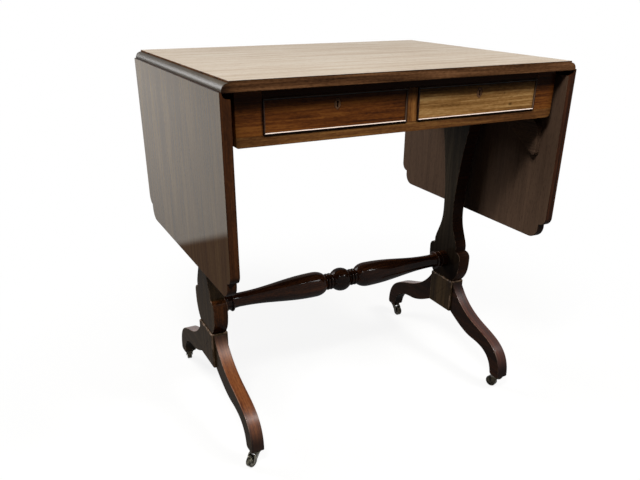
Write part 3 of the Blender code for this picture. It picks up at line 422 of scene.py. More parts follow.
def stacked(outline, levels, plane, width):
    """Carry an outline up through levels of (inset, height), each ring moved in along its mitres.

    The inset at a point runs along the sum of its two edge normals over one plus their product. Returns
    points, faces and a wear mark for each face: 1 on a rounded arris and 0 elsewhere.
    """
    outline, worn = eased(outline, width)
    levels = np.asarray(levels, float)
    along = np.roll(outline, -1, axis=0) - outline
    along /= np.linalg.norm(along, axis=1, keepdims=True)
    inward = np.stack([-along[:, 1], along[:, 0]], axis=1)
    behind = np.roll(inward, 1, axis=0)
    mitre = (inward + behind) / (1 + np.sum(inward * behind, axis=1, keepdims=True))
    rings = outline[None] + levels[:, :1, None] * mitre[None]
    count = len(outline)
    points = np.empty((len(levels), count, 3))
    axes = PLANES[plane]
    points[..., axes[0]] = rings[..., 0]
    points[..., axes[1]] = rings[..., 1]
    points[..., axes[2]] = levels[:, 1:]
    index = np.arange(len(levels) * count).reshape(len(levels), count)
    ahead = np.roll(index, -1, axis=1)
    quads = np.stack([index[:-1], ahead[:-1], ahead[1:], index[1:]], axis=-1).reshape(-1, 4)
    faces = quads.tolist() + [index[0, ::-1].tolist(), index[-1].tolist()]
    if plane == "XZ":
        faces = [face[::-1] for face in faces]
    step = np.abs(np.diff(levels, axis=0))
    rounded = (step > SAME_POINT).all(axis=1)
    wear = np.where(rounded[:, None], 1.0, worn[None]).ravel()
    return points.reshape(-1, 3), faces, np.append(wear, (0.0, 0.0))


def rim(width, points=RIM_POINTS):
    """Levels of a quarter-round rim: insets from the full width to nothing as the height grows by it."""
    turn = np.linspace(0, math.pi / 2, points)
    return np.stack([width * (1 - np.sin(turn)), width * (1 - np.cos(turn))], axis=1)


def slab(outline, low, high, plane, width):
    """An outline thickened from low to high, all its arrises rounded to one width."""
    edge = rim(width)
    lower = edge + (0, low)
    upper = (edge * (1, -1) + (0, high))[::-1]
    return stacked(outline, np.vstack([lower, upper]), plane, width)


def lathed(profile, steps=LATHE_STEPS):
    """Turn a profile of (x, r) about the X axis: the point (x, r cos a, r sin a) for evenly spaced a."""
    profile = np.asarray(profile, float)
    turn = np.linspace(0, 2 * math.pi, steps, endpoint=False)
    circle = np.stack([np.zeros(steps), np.cos(turn), np.sin(turn)], axis=1)
    axis = np.stack([profile[:, 0], np.zeros(len(profile)), np.zeros(len(profile))], axis=1)
    points = axis[:, None] + profile[:, 1, None, None] * circle[None]
    index = np.arange(len(profile) * steps).reshape(len(profile), steps)
    ahead = np.roll(index, -1, axis=1)
    quads = np.stack([index[:-1], index[1:], ahead[1:], ahead[:-1]], axis=-1).reshape(-1, 4)
    return points.reshape(-1, 3), quads.tolist()


def framed(section, low_x, low_z, high_x, high_z):
    """Carry a closed section of (inset, y) round a rectangle in XZ with mitred corners."""
    section = np.asarray(section, float)
    corners = rectangle(low_x, low_z, high_x, high_z)
    inward = np.array([(1, 1), (-1, 1), (-1, -1), (1, -1)], float)
    rings = corners[:, None] + inward[:, None] * section[None, :, :1]
    points = np.empty((len(corners), len(section), 3))
    points[..., 0] = rings[..., 0]
    points[..., 1] = section[None, :, 1]
    points[..., 2] = rings[..., 1]
    index = np.arange(len(corners) * len(section)).reshape(len(corners), len(section))
    next_corner = np.roll(index, -1, axis=0)
    across = np.roll(next_corner, -1, axis=1)
    quads = np.stack([index, next_corner, across, np.roll(index, -1, axis=1)], axis=-1)
    return points.reshape(-1, 3), quads.reshape(-1, 4).tolist()


def linked(name, mesh):
    """Put a mesh into the scene as an object at the origin."""
    piece = bpy.data.objects.new(name, mesh)
    bpy.context.scene.collection.objects.link(piece)
    return piece


def new_piece(name, shape):
    """Make an object from points, faces and, if given, the faces' wear marks."""
    mesh = bpy.data.meshes.new(name)
    mesh.from_pydata(shape[0], [], shape[1])
    wear = mesh.attributes.new("wear", "FLOAT", "FACE")
    if len(shape) > 2:
        wear.data.foreach_set("value", np.asarray(shape[2], np.float32))
    return linked(name, mesh)


def joined(*shapes):
    """Put several shapes into one, their faces renumbered."""
    points = np.vstack([shape[0] for shape in shapes])
    starts = np.cumsum([0] + [len(shape[0]) for shape in shapes[:-1]])
    faces = [[start + i for i in face] for start, shape in zip(starts, shapes) for face in shape[1]]
    return points, faces


def weld(piece):
    """Merge a piece's doubled points, so that poles and seams close, and turn its faces outwards."""
    work = bmesh.new()
    work.from_mesh(piece.data)
    bmesh.ops.remove_doubles(work, verts=work.verts, dist=SAME_POINT)
    bmesh.ops.recalc_face_normals(work, faces=work.faces)
    work.to_mesh(piece.data)
    work.free()
    return piece


def eased_copy(node, width):
    """Copy a node's solid, merge its triangles and round its outward arrises."""
    work = bmesh.new()
    work.from_mesh(frame["nodes"][node].data)
    mark = work.faces.layers.float.new("wear")
    bmesh.ops.remove_doubles(work, verts=work.verts, dist=SAME_POINT)
    bmesh.ops.dissolve_limit(work, angle_limit=FLAT_ANGLE, verts=work.verts, edges=work.edges)
    least = math.radians(EASED_EDGE_DEG)
    arrises = [
        edge for edge in work.edges
        if edge.is_manifold and edge.is_convex and edge.calc_face_angle(0) > least
        and edge.calc_length() > EASED_EDGE_WIDTHS * width
    ]
    rounded = bmesh.ops.bevel(
        work, geom=arrises, offset=width, segments=EASED_SEGMENTS, profile=ROUND_PROFILE,
        affect="EDGES", clamp_overlap=True,
    )
    for face in rounded["faces"]:
        face[mark] = 1.0
    mesh = bpy.data.meshes.new(node + "_finish")
    work.to_mesh(mesh)
    work.free()
    return linked(node + "_finish", mesh)


def cut(piece, *tools):
    """Cut tools out of a piece and remove the tools."""
    for tool in tools:
        change = piece.modifiers.new(tool.name, "BOOLEAN")
        change.operation = "DIFFERENCE"
        change.object = tool
    graph = bpy.context.evaluated_depsgraph_get()
    mesh = bpy.data.meshes.new_from_object(piece.evaluated_get(graph))
    piece.modifiers.clear()
    piece.data = mesh
    for tool in tools:
        bpy.data.objects.remove(tool)


def cutter(name, outline, low, high, plane):
    """A square-edged tool: an outline thickened from low to high."""
    return new_piece(name, stacked(outline, [(0, low), (0, high)], plane, 0))


def block_cutter(name, low, high):
    """A squared tool between two corners."""
    return cutter(name, rectangle(*low[:2], *high[:2]), low[2], high[2], "XY")


def shade(piece):
    """Shade a piece smooth with its flats kept flat and its hard turns kept crisp."""
    piece.data.shade_smooth()
    piece.data.set_sharp_from_angle(angle=math.radians(SHARP_SHADE_DEG))
    even = piece.modifiers.new("even_normals", "WEIGHTED_NORMAL")
    even.keep_sharp = True


def add_to(piece, body, material):
    """Finish a piece and let it ride on a body."""
    piece.data.materials.clear()
    piece.data.materials.append(finish(material))
    shade(piece)
    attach(piece, body)


def stand_for(piece, node, material):
    """Finish a piece and let it stand for a node on the node's own body."""
    add_to(piece, frame["nodes"][node]["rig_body"], material)
    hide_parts(node)
    return piece


def dress(node, width, material):
    """Let a copy of a node with rounded arrises stand for it."""
    stand_for(eased_copy(node, width), node, material)


def repaint(piece, finishes):
    """Give further finishes to the faces that each one's test picks by their normals and centres."""
    faces = piece.data.polygons
    normals, centres = np.empty((2, len(faces), 3))
    faces.foreach_get("normal", normals.ravel())
    faces.foreach_get("center", centres.ravel())
    index = np.zeros(len(faces), np.int32)
    for name, picks in finishes.items():
        piece.data.materials.append(finish(name))
        index[picks(normals, centres)] = len(piece.data.materials) - 1
    faces.foreach_set("material_index", index)


def add_node(tree, kind, inputs=None, stops=None, **settings):
    """Add a node with its settings. Each input is a value, or another node's output to link from."""
    node = tree.nodes.new(kind)
    for name, value in settings.items():
        setattr(node, name, value)
    for socket, value in (inputs or {}).items():
        if isinstance(value, bpy.types.NodeSocket):
            tree.links.new(value, node.inputs[socket])
        else:
            node.inputs[socket].default_value = value
    for position, shade_colour in stops or ():
        used = node.color_ramp.elements
        stop = used[0] if position == 0 else used[len(used) - 1] if position == 1 else used.new(position)
        stop.color = (*shade_colour, 1.0)
    return node


def new_material(name):
    """A material with no nodes yet, and its node tree."""
    material = bpy.data.materials.new(name)
    material.use_nodes = True
    material.node_tree.nodes.clear()
    return material, material.node_tree


def patterns(tree, place, layers):
    """Cloudy patterns by name, each from its scale on the three axes, its detail and its distortion."""
    found = {}
    for layer, (scale, detail, distortion) in layers.items():
        scaled = add_node(tree, "ShaderNodeMapping", {"Vector": place, "Scale": scale})
        noise = add_node(
            tree, "ShaderNodeTexNoise",
            {"Vector": scaled.outputs["Vector"], "Scale": 1.0, "Detail": detail, "Distortion": distortion},
        )
        found[layer] = noise.outputs["Fac"]
    return found


# Detail and distortion of each pattern in the wood
WOOD_PATTERNS = {
    "figure": (3.0, 0.9),
    "streak": (2.0, 0.3),
    "pore": (1.0, 0.0),
    "fleck": (2.0, 0.0),
    "cloud": (3.0, 0.6),
    "rub": (4.0, 0.0),
}

# A wood's tone: where it starts, the weight of each pattern in it, its middle and its reach to either end
TONE_START = -0.16
TONE_WEIGHTS = {"figure": 0.56, "fleck": 0.20, "streak": 0.30, "cloud": 0.26}
TONE_MIDDLE = 0.5
TONE_REACH = 0.2

# Pattern values between which pores and rubbed patches come up, with their full strength, the values
# between which handling tells, how much smoother or rougher it leaves the surface, and the pores' relief
PORES = {"From Min": 0.60, "From Max": 0.70, "To Max": 0.55}
RUBBED_PATCHES = {"From Min": 0.40, "From Max": 0.64, "To Max": 0.55}
HANDLING = {"From Min": 0.3, "From Max": 0.7}
SMOOTHER = 0.05
ROUGHER = 0.07
WOOD_RELIEF = {"Strength": 0.22, "Distance": 0.0003}

# The rubbed leaf: heights at its middle between which the polish thins out, the slope of that line, the
# share of polish left just above it, the height from which it is whole, and the share of a painted dark
# reflection at the foot
RUBBED_FOOT_Z = 0.382
FULL_POLISH_Z = 0.400
RUBBED_SLOPE = 0.39
WORN_POLISH = 0.64
FRESH_POLISH_Z = 0.66
FOOT_REFLECTION = 0.40

# Share of darkening in a darkened place, painted shade on the right trestle end and painted shadow beside
# the beads, share of polish left there, and the depth of an oval mark
DARK_SHARE = 0.88
DULLED = 0.25
MARK_DEPTH = 0.010


def grain_layers(grain, figure):
    """Scale, detail and distortion of a wood's patterns, long in the grain's axes and wide across them."""
    sizes = bpy.context.scene.sofa_table_sizes
    layers = {}
    for layer, (detail, distortion) in WOOD_PATTERNS.items():
        run = getattr(sizes, layer + "_length")
        width = getattr(sizes, layer + "_width") * (figure if layer == "figure" else 1)
        layers[layer] = tuple(1 / run if axis in grain else 1 / width for axis in "XYZ"), detail, distortion
    return layers


def stain_and_shadow_marks(tree, place, stains_and_shadows):
    """Darkening in each oval mark, knots and painted shade among them: full at its middle, nil at its rim.
    """
    marks = []
    for middle, (half_x, half_z), strength in stains_and_shadows:
        squeeze = Vector((1 / half_x, 1 / MARK_DEPTH, 1 / half_z))
        squeezed = add_node(tree, "ShaderNodeMapping", {"Vector": place, "Scale": squeeze})
        reach = add_node(
            tree, "ShaderNodeVectorMath",
            {0: squeezed.outputs["Vector"], 1: Vector(middle) * squeeze}, operation="DISTANCE",
        )
        mark = add_node(
            tree, "ShaderNodeMapRange",
            {"Value": reach.outputs["Value"], "From Min": 1.0, "From Max": 0.0, "To Max": strength},
            interpolation_type="SMOOTHSTEP",
        )
        marks.append(mark.outputs["Result"])
    return marks


def rubbed_foot_and_reflection(tree, axes, coat, foot_coat):
    """The coat of a leaf rubbed at its foot and a painted dark reflection there, both changing at a
    slanting line.
    """
    slanted = add_node(
        tree, "ShaderNodeMath", {0: axes["Y"], 1: RUBBED_SLOPE, 2: axes["Z"]}, operation="MULTIPLY_ADD"
    )
    fresh = add_node(
        tree, "ShaderNodeMapRange",
        {"Value": axes["Z"], "From Min": RUBBED_FOOT_Z, "From Max": FRESH_POLISH_Z,
         "To Min": coat * WORN_POLISH, "To Max": coat},
    )
    shares = []
    for below, above in ((foot_coat, fresh.outputs["Result"]), (FOOT_REFLECTION, 0.0)):
        share = add_node(
            tree, "ShaderNodeMapRange",
            {"Value": slanted.outputs[0], "From Min": RUBBED_FOOT_Z, "From Max": FULL_POLISH_Z,
             "To Min": below, "To Max": above},
            interpolation_type="SMOOTHSTEP",
        )
        shares.append(share.outputs["Result"])
    return shares


def wood(name, tones, grain, polish, figure, contrast, darkening=(), stains_and_shadows=()):
    """A sawn, planed and polished hardwood.

    Broad stripes, fine streaks, flecks and cloudy patches set the tone. Short dark pores lie along the
    grain and dent the surface. Rubbed arrises show paler wood in broken patches. It darkens between pairs
    of heights and its polish dulls there; on the right trestle end this is painted shade. Knots are oval
    stains, and other oval marks paint the shadows beside the drawers' beads, shade at the frieze's left
    end and a darkening at the top's left end. The polish is a thin coat.
    """
    colours = bpy.context.scene.sofa_table_colours
    dark, middle, light = (tuple(getattr(colours, f"{tones}_{tone}")) for tone in TONE_WORDS)
    roughness, specular, coat, coat_roughness, *foot_coat = polish
    material, tree = new_material(name)
    place = add_node(tree, "ShaderNodeTexCoord").outputs["Object"]
    axes = add_node(tree, "ShaderNodeSeparateXYZ", {"Vector": place}).outputs
    pattern = patterns(tree, place, grain_layers(grain, figure))
    tone = TONE_START
    for layer, weight in TONE_WEIGHTS.items():
        raised = add_node(
            tree, "ShaderNodeMath", {0: pattern[layer], 1: weight, 2: tone}, operation="MULTIPLY_ADD"
        )
        tone = raised.outputs[0]
    reach = TONE_REACH / contrast
    spread = add_node(
        tree, "ShaderNodeMapRange",
        {"Value": tone, "From Min": TONE_MIDDLE - reach, "From Max": TONE_MIDDLE + reach},
    )
    body = add_node(
        tree, "ShaderNodeValToRGB", {"Fac": spread.outputs["Result"]},
        stops=((0, dark), (TONE_MIDDLE, middle), (1, light)),
    )
    pores = add_node(tree, "ShaderNodeMapRange", {"Value": pattern["pore"], **PORES})
    patches = add_node(tree, "ShaderNodeMapRange", {"Value": pattern["rub"], **RUBBED_PATCHES})
    wear = add_node(tree, "ShaderNodeAttribute", attribute_name="wear")
    rubbed = add_node(
        tree, "ShaderNodeMath", {0: wear.outputs["Fac"], 1: patches.outputs["Result"]}, operation="MULTIPLY"
    )
    paints = [(pores.outputs["Result"], dark), (rubbed.outputs[0], colours.worn_edge)]
    dark_total = 0.0
    for dark_z, clean_z in darkening:
        mark = add_node(
            tree, "ShaderNodeMapRange",
            {"Value": axes["Z"], "From Min": clean_z, "From Max": dark_z, "To Max": DARK_SHARE},
            interpolation_type="SMOOTHSTEP",
        )
        paints.append((mark.outputs["Result"], colours.red_dark))
        total = add_node(tree, "ShaderNodeMath", {0: mark.outputs["Result"], 1: dark_total}, operation="ADD")
        dark_total = total.outputs[0]
    paints += [(mark, colours.red_dark) for mark in stain_and_shadow_marks(tree, place, stains_and_shadows)]
    coat_share = coat
    if darkening:
        dulled = add_node(
            tree, "ShaderNodeMapRange",
            {"Value": dark_total, "From Max": DARK_SHARE, "To Min": coat, "To Max": coat * DULLED},
        )
        coat_share = dulled.outputs["Result"]
    if foot_coat:
        coat_share, foot_reflection_share = rubbed_foot_and_reflection(tree, axes, coat, *foot_coat)
        paints.append((foot_reflection_share, colours.leaf_foot))
    painted = body.outputs["Color"]
    for share, paint in paints:
        over = add_node(
            tree, "ShaderNodeMix", {MIX_FACTOR: share, MIX_A: painted, MIX_B: (*paint, 1.0)},
            data_type="RGBA",
        )
        painted = over.outputs[MIX_RESULT]
    handled = add_node(
        tree, "ShaderNodeMapRange",
        {"Value": pattern["cloud"], **HANDLING,
         "To Min": roughness - SMOOTHER, "To Max": roughness + ROUGHER},
    )
    dents = add_node(
        tree, "ShaderNodeMath", {0: pattern["streak"], 1: pores.outputs["Result"]}, operation="SUBTRACT"
    )
    relief = add_node(tree, "ShaderNodeBump", {"Height": dents.outputs[0], **WOOD_RELIEF})
    shader = add_node(
        tree, "ShaderNodeBsdfPrincipled",
        {"Base Color": painted, "Roughness": handled.outputs["Result"], "Normal": relief.outputs["Normal"],
         "Specular IOR Level": specular, "Coat Weight": coat_share, "Coat Roughness": coat_roughness},
    )
    add_node(tree, "ShaderNodeOutputMaterial", {"Surface": shader.outputs["BSDF"]})
    return material


# Pairs of heights on the legs and on the right trestle end, dark and clean; on the trestle end the
# darkening is painted shade
LEG_DARKENING = ((0.048, 0.098), (0.196, 0.160))
STANDARD_SHADE = ((0.20, 0.45),)

# Half the length and height of the painted shadow below a drawer's bead and beside it, of the painted
# shade at the left end of the lower rail and on the left stile, and of the darkening on the top's front
# left corner
BELOW_BEAD = (0.165, 0.0038)
BESIDE_BEAD = (0.0055, 0.036)
RAIL_END = (0.09, 0.06)
STILE_END = (0.050, 0.070)
TOP_END = (0.024, 0.030)

# Oval marks on the frieze and the top: the middle, half the length and height, and the strength of each.
# On the frieze they are painted shadow beside the beads and painted shade at the left end; the right
# drawer front also has two knots, and the top is darker at its front left corner.
RAIL_LOW, RAIL_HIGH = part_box("front_lower_rail")
FRONT_Y = RAIL_LOW.y
DRAWER_MIDDLES = {name: sum(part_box(name + "_drawer_front"), Vector()) / 2 for name in SIDES}
RAIL_SHADE = (
    *(((middle.x, FRONT_Y, RAIL_HIGH.z), BELOW_BEAD, DARK_SHARE) for middle in DRAWER_MIDDLES.values()),
    ((RAIL_LOW.x, FRONT_Y, RAIL_LOW.z), RAIL_END, 0.42),
)
UPRIGHT_Z = DRAWER_MIDDLES["left"].z
LEFT_EDGE, DIVISION_LEFT, DIVISION_RIGHT, RIGHT_EDGE = (
    (corner.x, FRONT_Y, UPRIGHT_Z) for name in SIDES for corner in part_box(name + "_drawer_bead")
)
LEFT_SHADE = (
    (LEFT_EDGE, BESIDE_BEAD, DARK_SHARE),
    (DIVISION_LEFT, BESIDE_BEAD, DARK_SHARE),
    ((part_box("left_front_stile")[0].x, FRONT_Y, UPRIGHT_Z), STILE_END, 0.30),
)
DIVISION_SHADE = ((DIVISION_RIGHT, BESIDE_BEAD, DARK_SHARE),)
RIGHT_KNOTS_AND_SHADE = (
    (RIGHT_EDGE, BESIDE_BEAD, DARK_SHARE),
    ((0.214, FRONT_Y, 0.6486), (0.007, 0.0034), 0.75),
    ((0.198, FRONT_Y, 0.669), (0.004, 0.0034), 0.45),
)
TOP_END_DARKENING = ((tuple(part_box("top_board")[0]), TOP_END, DARK_SHARE),)

# Roughness, specular level, coat weight and coat roughness of each polish, and the coat weight at the foot
# of the rubbed leaf
OLD_POLISH = (0.45, 0.0, 0.08, 0.20)
LEG_POLISH = (0.45, 0.0, 0.9, 0.32)
DARK_LEG_POLISH = (0.45, 0.0, 0.62, 0.26)
TURNED_POLISH = (0.45, 0.0, 0.16, 0.10)
RING_POLISH = (0.45, 0.0, 0.14, 0.06)
BEAD_POLISH = (0.45, 0.0, 0.12, 0.15)
LEAF_POLISH = (0.45, 0.0, 0.74, 0.22, 0.02)
EVEN_POLISH = (0.45, 0.0, 0.60, 0.22)
OVOLO_POLISH = (0.45, 0.0, 0.26, 0.30)
FADED_POLISH = (0.58, 0.30, 0.0, 0.1)
FRIEZE_POLISH = (0.45, 0.0, 0.05, 0.20)
NO_POLISH = (0.66, 0.04, 0.0, 0.1)

# Tones, grain axes, polish, stripe width and contrast of each wood, then the heights it darkens between
# and its oval marks, both in places painted shade
WOODS = {
    # Pale, matt and softly streaked: the top bleached by the sun and dry, its paleness partly a painted
    # sheen, and the upper run of each bead pale as a painted highlight
    "sun_faded_mahogany_top": ("top", "X", FADED_POLISH, 1.5, 0.9),
    "sun_faded_mahogany_bead": ("top", "X", FRIEZE_POLISH, 0.8, 0.6),
    # Stained under thin polish: brown and patchy, dark at the left end
    "stained_mahogany_top_edge": ("edge", "X", FRIEZE_POLISH, 1.5, 1.5, (), TOP_END_DARKENING),
    # Nearly black, with little shine or none: painted shade under the top, in the keyholes, at the
    # leaves' heads and on the right trestle end, a dark line on the top's front arris and a dark rim on
    # the right leaf
    "darkened_mahogany": ("red", "X", NO_POLISH, 1.0, 1.0),
    "darkened_mahogany_along_y": ("red", "Y", OLD_POLISH, 1.4, 0.8),
    "darkened_mahogany_rim": ("turned", "Z", OLD_POLISH, 1.2, 1.2),
    # Turned and polished: deep brown with small clear glints
    "polished_mahogany_turned": ("turned", "X", TURNED_POLISH, 1.0, 1.2),
    "darkened_mahogany_turned": ("red", "X", RING_POLISH, 1.0, 1.2),
    # Moulded and thinly polished: grey-brown with a soft line of light along the round
    "polished_mahogany_ovolo": ("ovolo", "Y", OVOLO_POLISH, 1.5, 0.8),
    # Sawn to shape under old polish: dark brown with a weak gloss
    "polished_mahogany_along_y": ("end", "Y", OLD_POLISH, 1.4, 0.6),
    "polished_mahogany_upright": ("end", "Z", OLD_POLISH, 1.4, 0.9),
    "polished_mahogany_bead": ("red", "X", BEAD_POLISH, 1.0, 1.0),
    "polished_mahogany_rim": ("rim", "Z", OLD_POLISH, 1.2, 1.2),
    # The same with painted light: greyer at the head as a painted sheen, and blackened towards the foot as
    # painted shade
    "dusty_mahogany_upright": ("ovolo", "Z", OLD_POLISH, 1.4, 0.9, STANDARD_SHADE),
    # Wide boards under a full polish: broad upright stripes below a gloss that greys them, and on the left
    # leaf a foot darkened as a painted dark reflection
    "polished_mahogany_leaf": ("leaf", "Z", LEAF_POLISH, 3.2, 0.8),
    "even_polished_mahogany_leaf": ("leaf", "Z", EVEN_POLISH, 3.2, 0.8),
    # Shaped by hand and well polished: red-brown with a broad soft shine, black near block and toe
    "rubbed_mahogany_leg": ("leg", "YZ", LEG_POLISH, 1.0, 1.2, LEG_DARKENING),
    "polished_mahogany_leg": ("shin", "YZ", DARK_LEG_POLISH, 1.0, 1.2, LEG_DARKENING),
    # Figured wood with most of its polish gone: golden to brown streaks, with painted shadow beside the
    # beads, painted shade at the left end and knots in the right drawer
    "golden_mahogany_along_x": ("gold", "X", FRIEZE_POLISH, 0.8, 1.4, (), RAIL_SHADE),
    "golden_mahogany_upright": ("post", "Z", FRIEZE_POLISH, 0.8, 1.2, (), DIVISION_SHADE),
    "brown_mahogany_along_x": ("brown", "X", FRIEZE_POLISH, 0.8, 1.4, (), LEFT_SHADE),
    "figured_mahogany_right_drawer": ("pale", "X", FRIEZE_POLISH, 0.6, 1.4, (), RIGHT_KNOTS_AND_SHADE),
    # Painted highlights on the beads: dull brown on the uprights and nearly white below
    "faded_mahogany_bead": ("dry", "Z", FRIEZE_POLISH, 0.8, 1.0),
    "rubbed_mahogany_bead": ("bead", "X", FRIEZE_POLISH, 0.8, 0.6),
    # Inlaid and scraped flush: a small brown kite with fine streaks
    "inlaid_key_plate": ("plate", "Z", FRIEZE_POLISH, 0.5, 0.8),
    # Planed and never polished: dry, matt and even
    "bare_mahogany_along_x": ("dry", "X", NO_POLISH, 1.2, 1.0),
    "bare_mahogany_along_y": ("dry", "Y", NO_POLISH, 1.2, 1.0),
    "bare_mahogany_upright": ("dry", "Z", NO_POLISH, 2.4, 0.45),
    # Planed oak: yellow-brown, matt and finely streaked
    "drawer_oak_along_x": ("oak", "X", NO_POLISH, 0.8, 1.0),
    "drawer_oak_along_y": ("oak", "Y", NO_POLISH, 0.8, 1.0),
}

# A metal: the detail of its patterns, the grains of grit across a patch, the weight of wear, the values
# between which tarnish gives way to bare metal, the roughness that tarnish adds, and the relief of the grit
METAL_DETAIL = 4.0
GRIT_PARTS = 8
WEAR_WEIGHT = 0.35
BARE_METAL = {"From Min": 0.38, "From Max": 0.66}
TARNISH_ROUGHNESS = 0.2
METAL_RELIEF = {"Strength": 0.25, "Distance": 0.0002}

# Bare and dull colour, roughness and size of the patches of each metal
METALS = {
    # Cast, filed and long untouched: almost black with brown glints
    "tarnished_brass": ("brass", "brass_tarnish", 0.16, 0.006),
    # The same, lately rubbed: grey-green with bright edges
    "rubbed_brass": ("clean_brass", "clean_brass_tarnish", 0.16, 0.006),
    # Wrought and gone dull: grey with brown rust, no clear reflections
    "hinge_iron_finish": ("iron", "iron_rust", 0.42, 0.008),
}


def metal(name, bright, dull, roughness, patch):
    """A worked metal gone dull: patches of tarnish over bare metal that handling keeps rubbed."""
    colours = bpy.context.scene.sofa_table_colours
    material, tree = new_material(name)
    place = add_node(tree, "ShaderNodeTexCoord").outputs["Object"]
    layers = {
        "patch": ((1 / patch,) * 3, METAL_DETAIL, 0.0),
        "grit": ((GRIT_PARTS / patch,) * 3, METAL_DETAIL, 0.0),
    }
    pattern = patterns(tree, place, layers)
    wear = add_node(tree, "ShaderNodeAttribute", attribute_name="wear")
    rubbed = add_node(
        tree, "ShaderNodeMath", {0: wear.outputs["Fac"], 1: WEAR_WEIGHT, 2: pattern["patch"]},
        operation="MULTIPLY_ADD",
    )
    bare = add_node(tree, "ShaderNodeMapRange", {"Value": rubbed.outputs[0], **BARE_METAL})
    body = add_node(
        tree, "ShaderNodeMix",
        {MIX_FACTOR: bare.outputs["Result"], MIX_A: (*getattr(colours, dull), 1.0),
         MIX_B: (*getattr(colours, bright), 1.0)},
        data_type="RGBA",
    )
    handled = add_node(
        tree, "ShaderNodeMapRange",
        {"Value": rubbed.outputs[0], **HANDLING,
         "To Min": roughness + TARNISH_ROUGHNESS, "To Max": roughness},
    )
    relief = add_node(tree, "ShaderNodeBump", {"Height": pattern["grit"], **METAL_RELIEF})
    shader = add_node(
        tree, "ShaderNodeBsdfPrincipled",
        {"Base Color": body.outputs[MIX_RESULT], "Roughness": handled.outputs["Result"], "Metallic": 1.0,
         "Normal": relief.outputs["Normal"]},
    )
    add_node(tree, "ShaderNodeOutputMaterial", {"Surface": shader.outputs["BSDF"]})
    return material


def finish(name):
    """Find a finish by name, or make it the first time it is asked for."""
    known = bpy.data.materials.get(name)
    if known:
        return known
    return metal(name, *METALS[name]) if name in METALS else wood(name, *WOODS[name])


def joint_of(name):
    """A joint's row in the frame."""
    return next(joint for joint in frame["joints"] if joint["name"] == name)


def inner_x(node):
    """Distance along X from the middle of the table to the nearer side of a node."""
    return min(abs(corner.x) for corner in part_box(node))


def make_top(width):
    """The fixed top: the end section of fillet and ovolo carried along Y, its hinge pockets cut out."""
    low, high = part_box("top_board")
    pin = Vector(joint_of("right_leaf_hinge")["pos_m"])
    radius = high.x - pin.x
    foot_deg = -math.degrees(math.asin((pin.z - low.z) / radius))
    half = arc((pin.x, pin.z), radius, foot_deg, 90), (pin.x, high.z)
    top = new_piece("top_board_finish", slab(mirrored(*half), low.y, high.y, "XZ", width)[:2])
    tools = []
    for tag in TAGS:
        flap = f"{tag}_hinge_fixed_flap"
        flap_low, flap_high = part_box(flap)
        side = SIDES[tag.split("_")[0]]
        ends = sorted((side * (inner_x(flap) - GAP), side * (high.x + GAP)))
        corner_low = (ends[0], flap_low.y - GAP, low.z - PIN_COVER)
        corner_high = (ends[1], flap_high.y + GAP, low.z + POCKET_DEPTH)
        tools.append(block_cutter(tag + "_pocket", corner_low, corner_high))
        bore = outline_of(arc((side * pin.x, pin.z), PIN_COVER + 2 * GAP, 0, 360))
        tools.append(cutter(tag + "_hollow", bore, flap_low.y - GAP, flap_high.y + GAP, "XZ"))
    cut(top, *tools)
    stand_for(top, "top_board", "sun_faded_mahogany_top")

    def edges(normals, centres):
        return (normals[:, 2] < UPWARD) | (centres[:, 2] < high.z - SHOW_DEPTH)

    def front_arris(normals, centres):
        return (normals[:, 2] > FLAT) & (normals[:, 2] < UPWARD) & (normals[:, 1] < -FLAT)

    def ovolos(normals, centres):
        return (np.abs(centres[:, 0]) > pin.x + GAP) & (np.abs(normals[:, 1]) < SLANT)

    repaint(top, {
        "stained_mahogany_top_edge": edges,
        "darkened_mahogany": front_arris,
        "polished_mahogany_ovolo": ovolos,
        "bare_mahogany_along_x": lambda normals, centres: normals[:, 2] < -SQUARE,
    })


def leaf_outline(low, high):
    """A hanging leaf seen along X: two quarter rounds with a nick between them at each lower corner."""
    foot = low.z
    half_depth = high.y
    lower_centre = (half_depth - LEAF_UPPER_ROUND - LEAF_LOWER_ROUND, foot + LEAF_LOWER_ROUND)
    upper_z = foot + LEAF_LOWER_ROUND + LEAF_NICK + LEAF_UPPER_ROUND
    lower = arc(lower_centre, LEAF_LOWER_ROUND, -90, 0)
    upper = arc((half_depth - LEAF_UPPER_ROUND, upper_z), LEAF_UPPER_ROUND, -90, 0)
    return mirrored(lower, upper, (half_depth, high.z))


# Finishes of each leaf's edges and outer face
LEAF_WOODS = {
    "left": ("polished_mahogany_rim", "polished_mahogany_leaf"),
    "right": ("darkened_mahogany_rim", "even_polished_mahogany_leaf"),
}


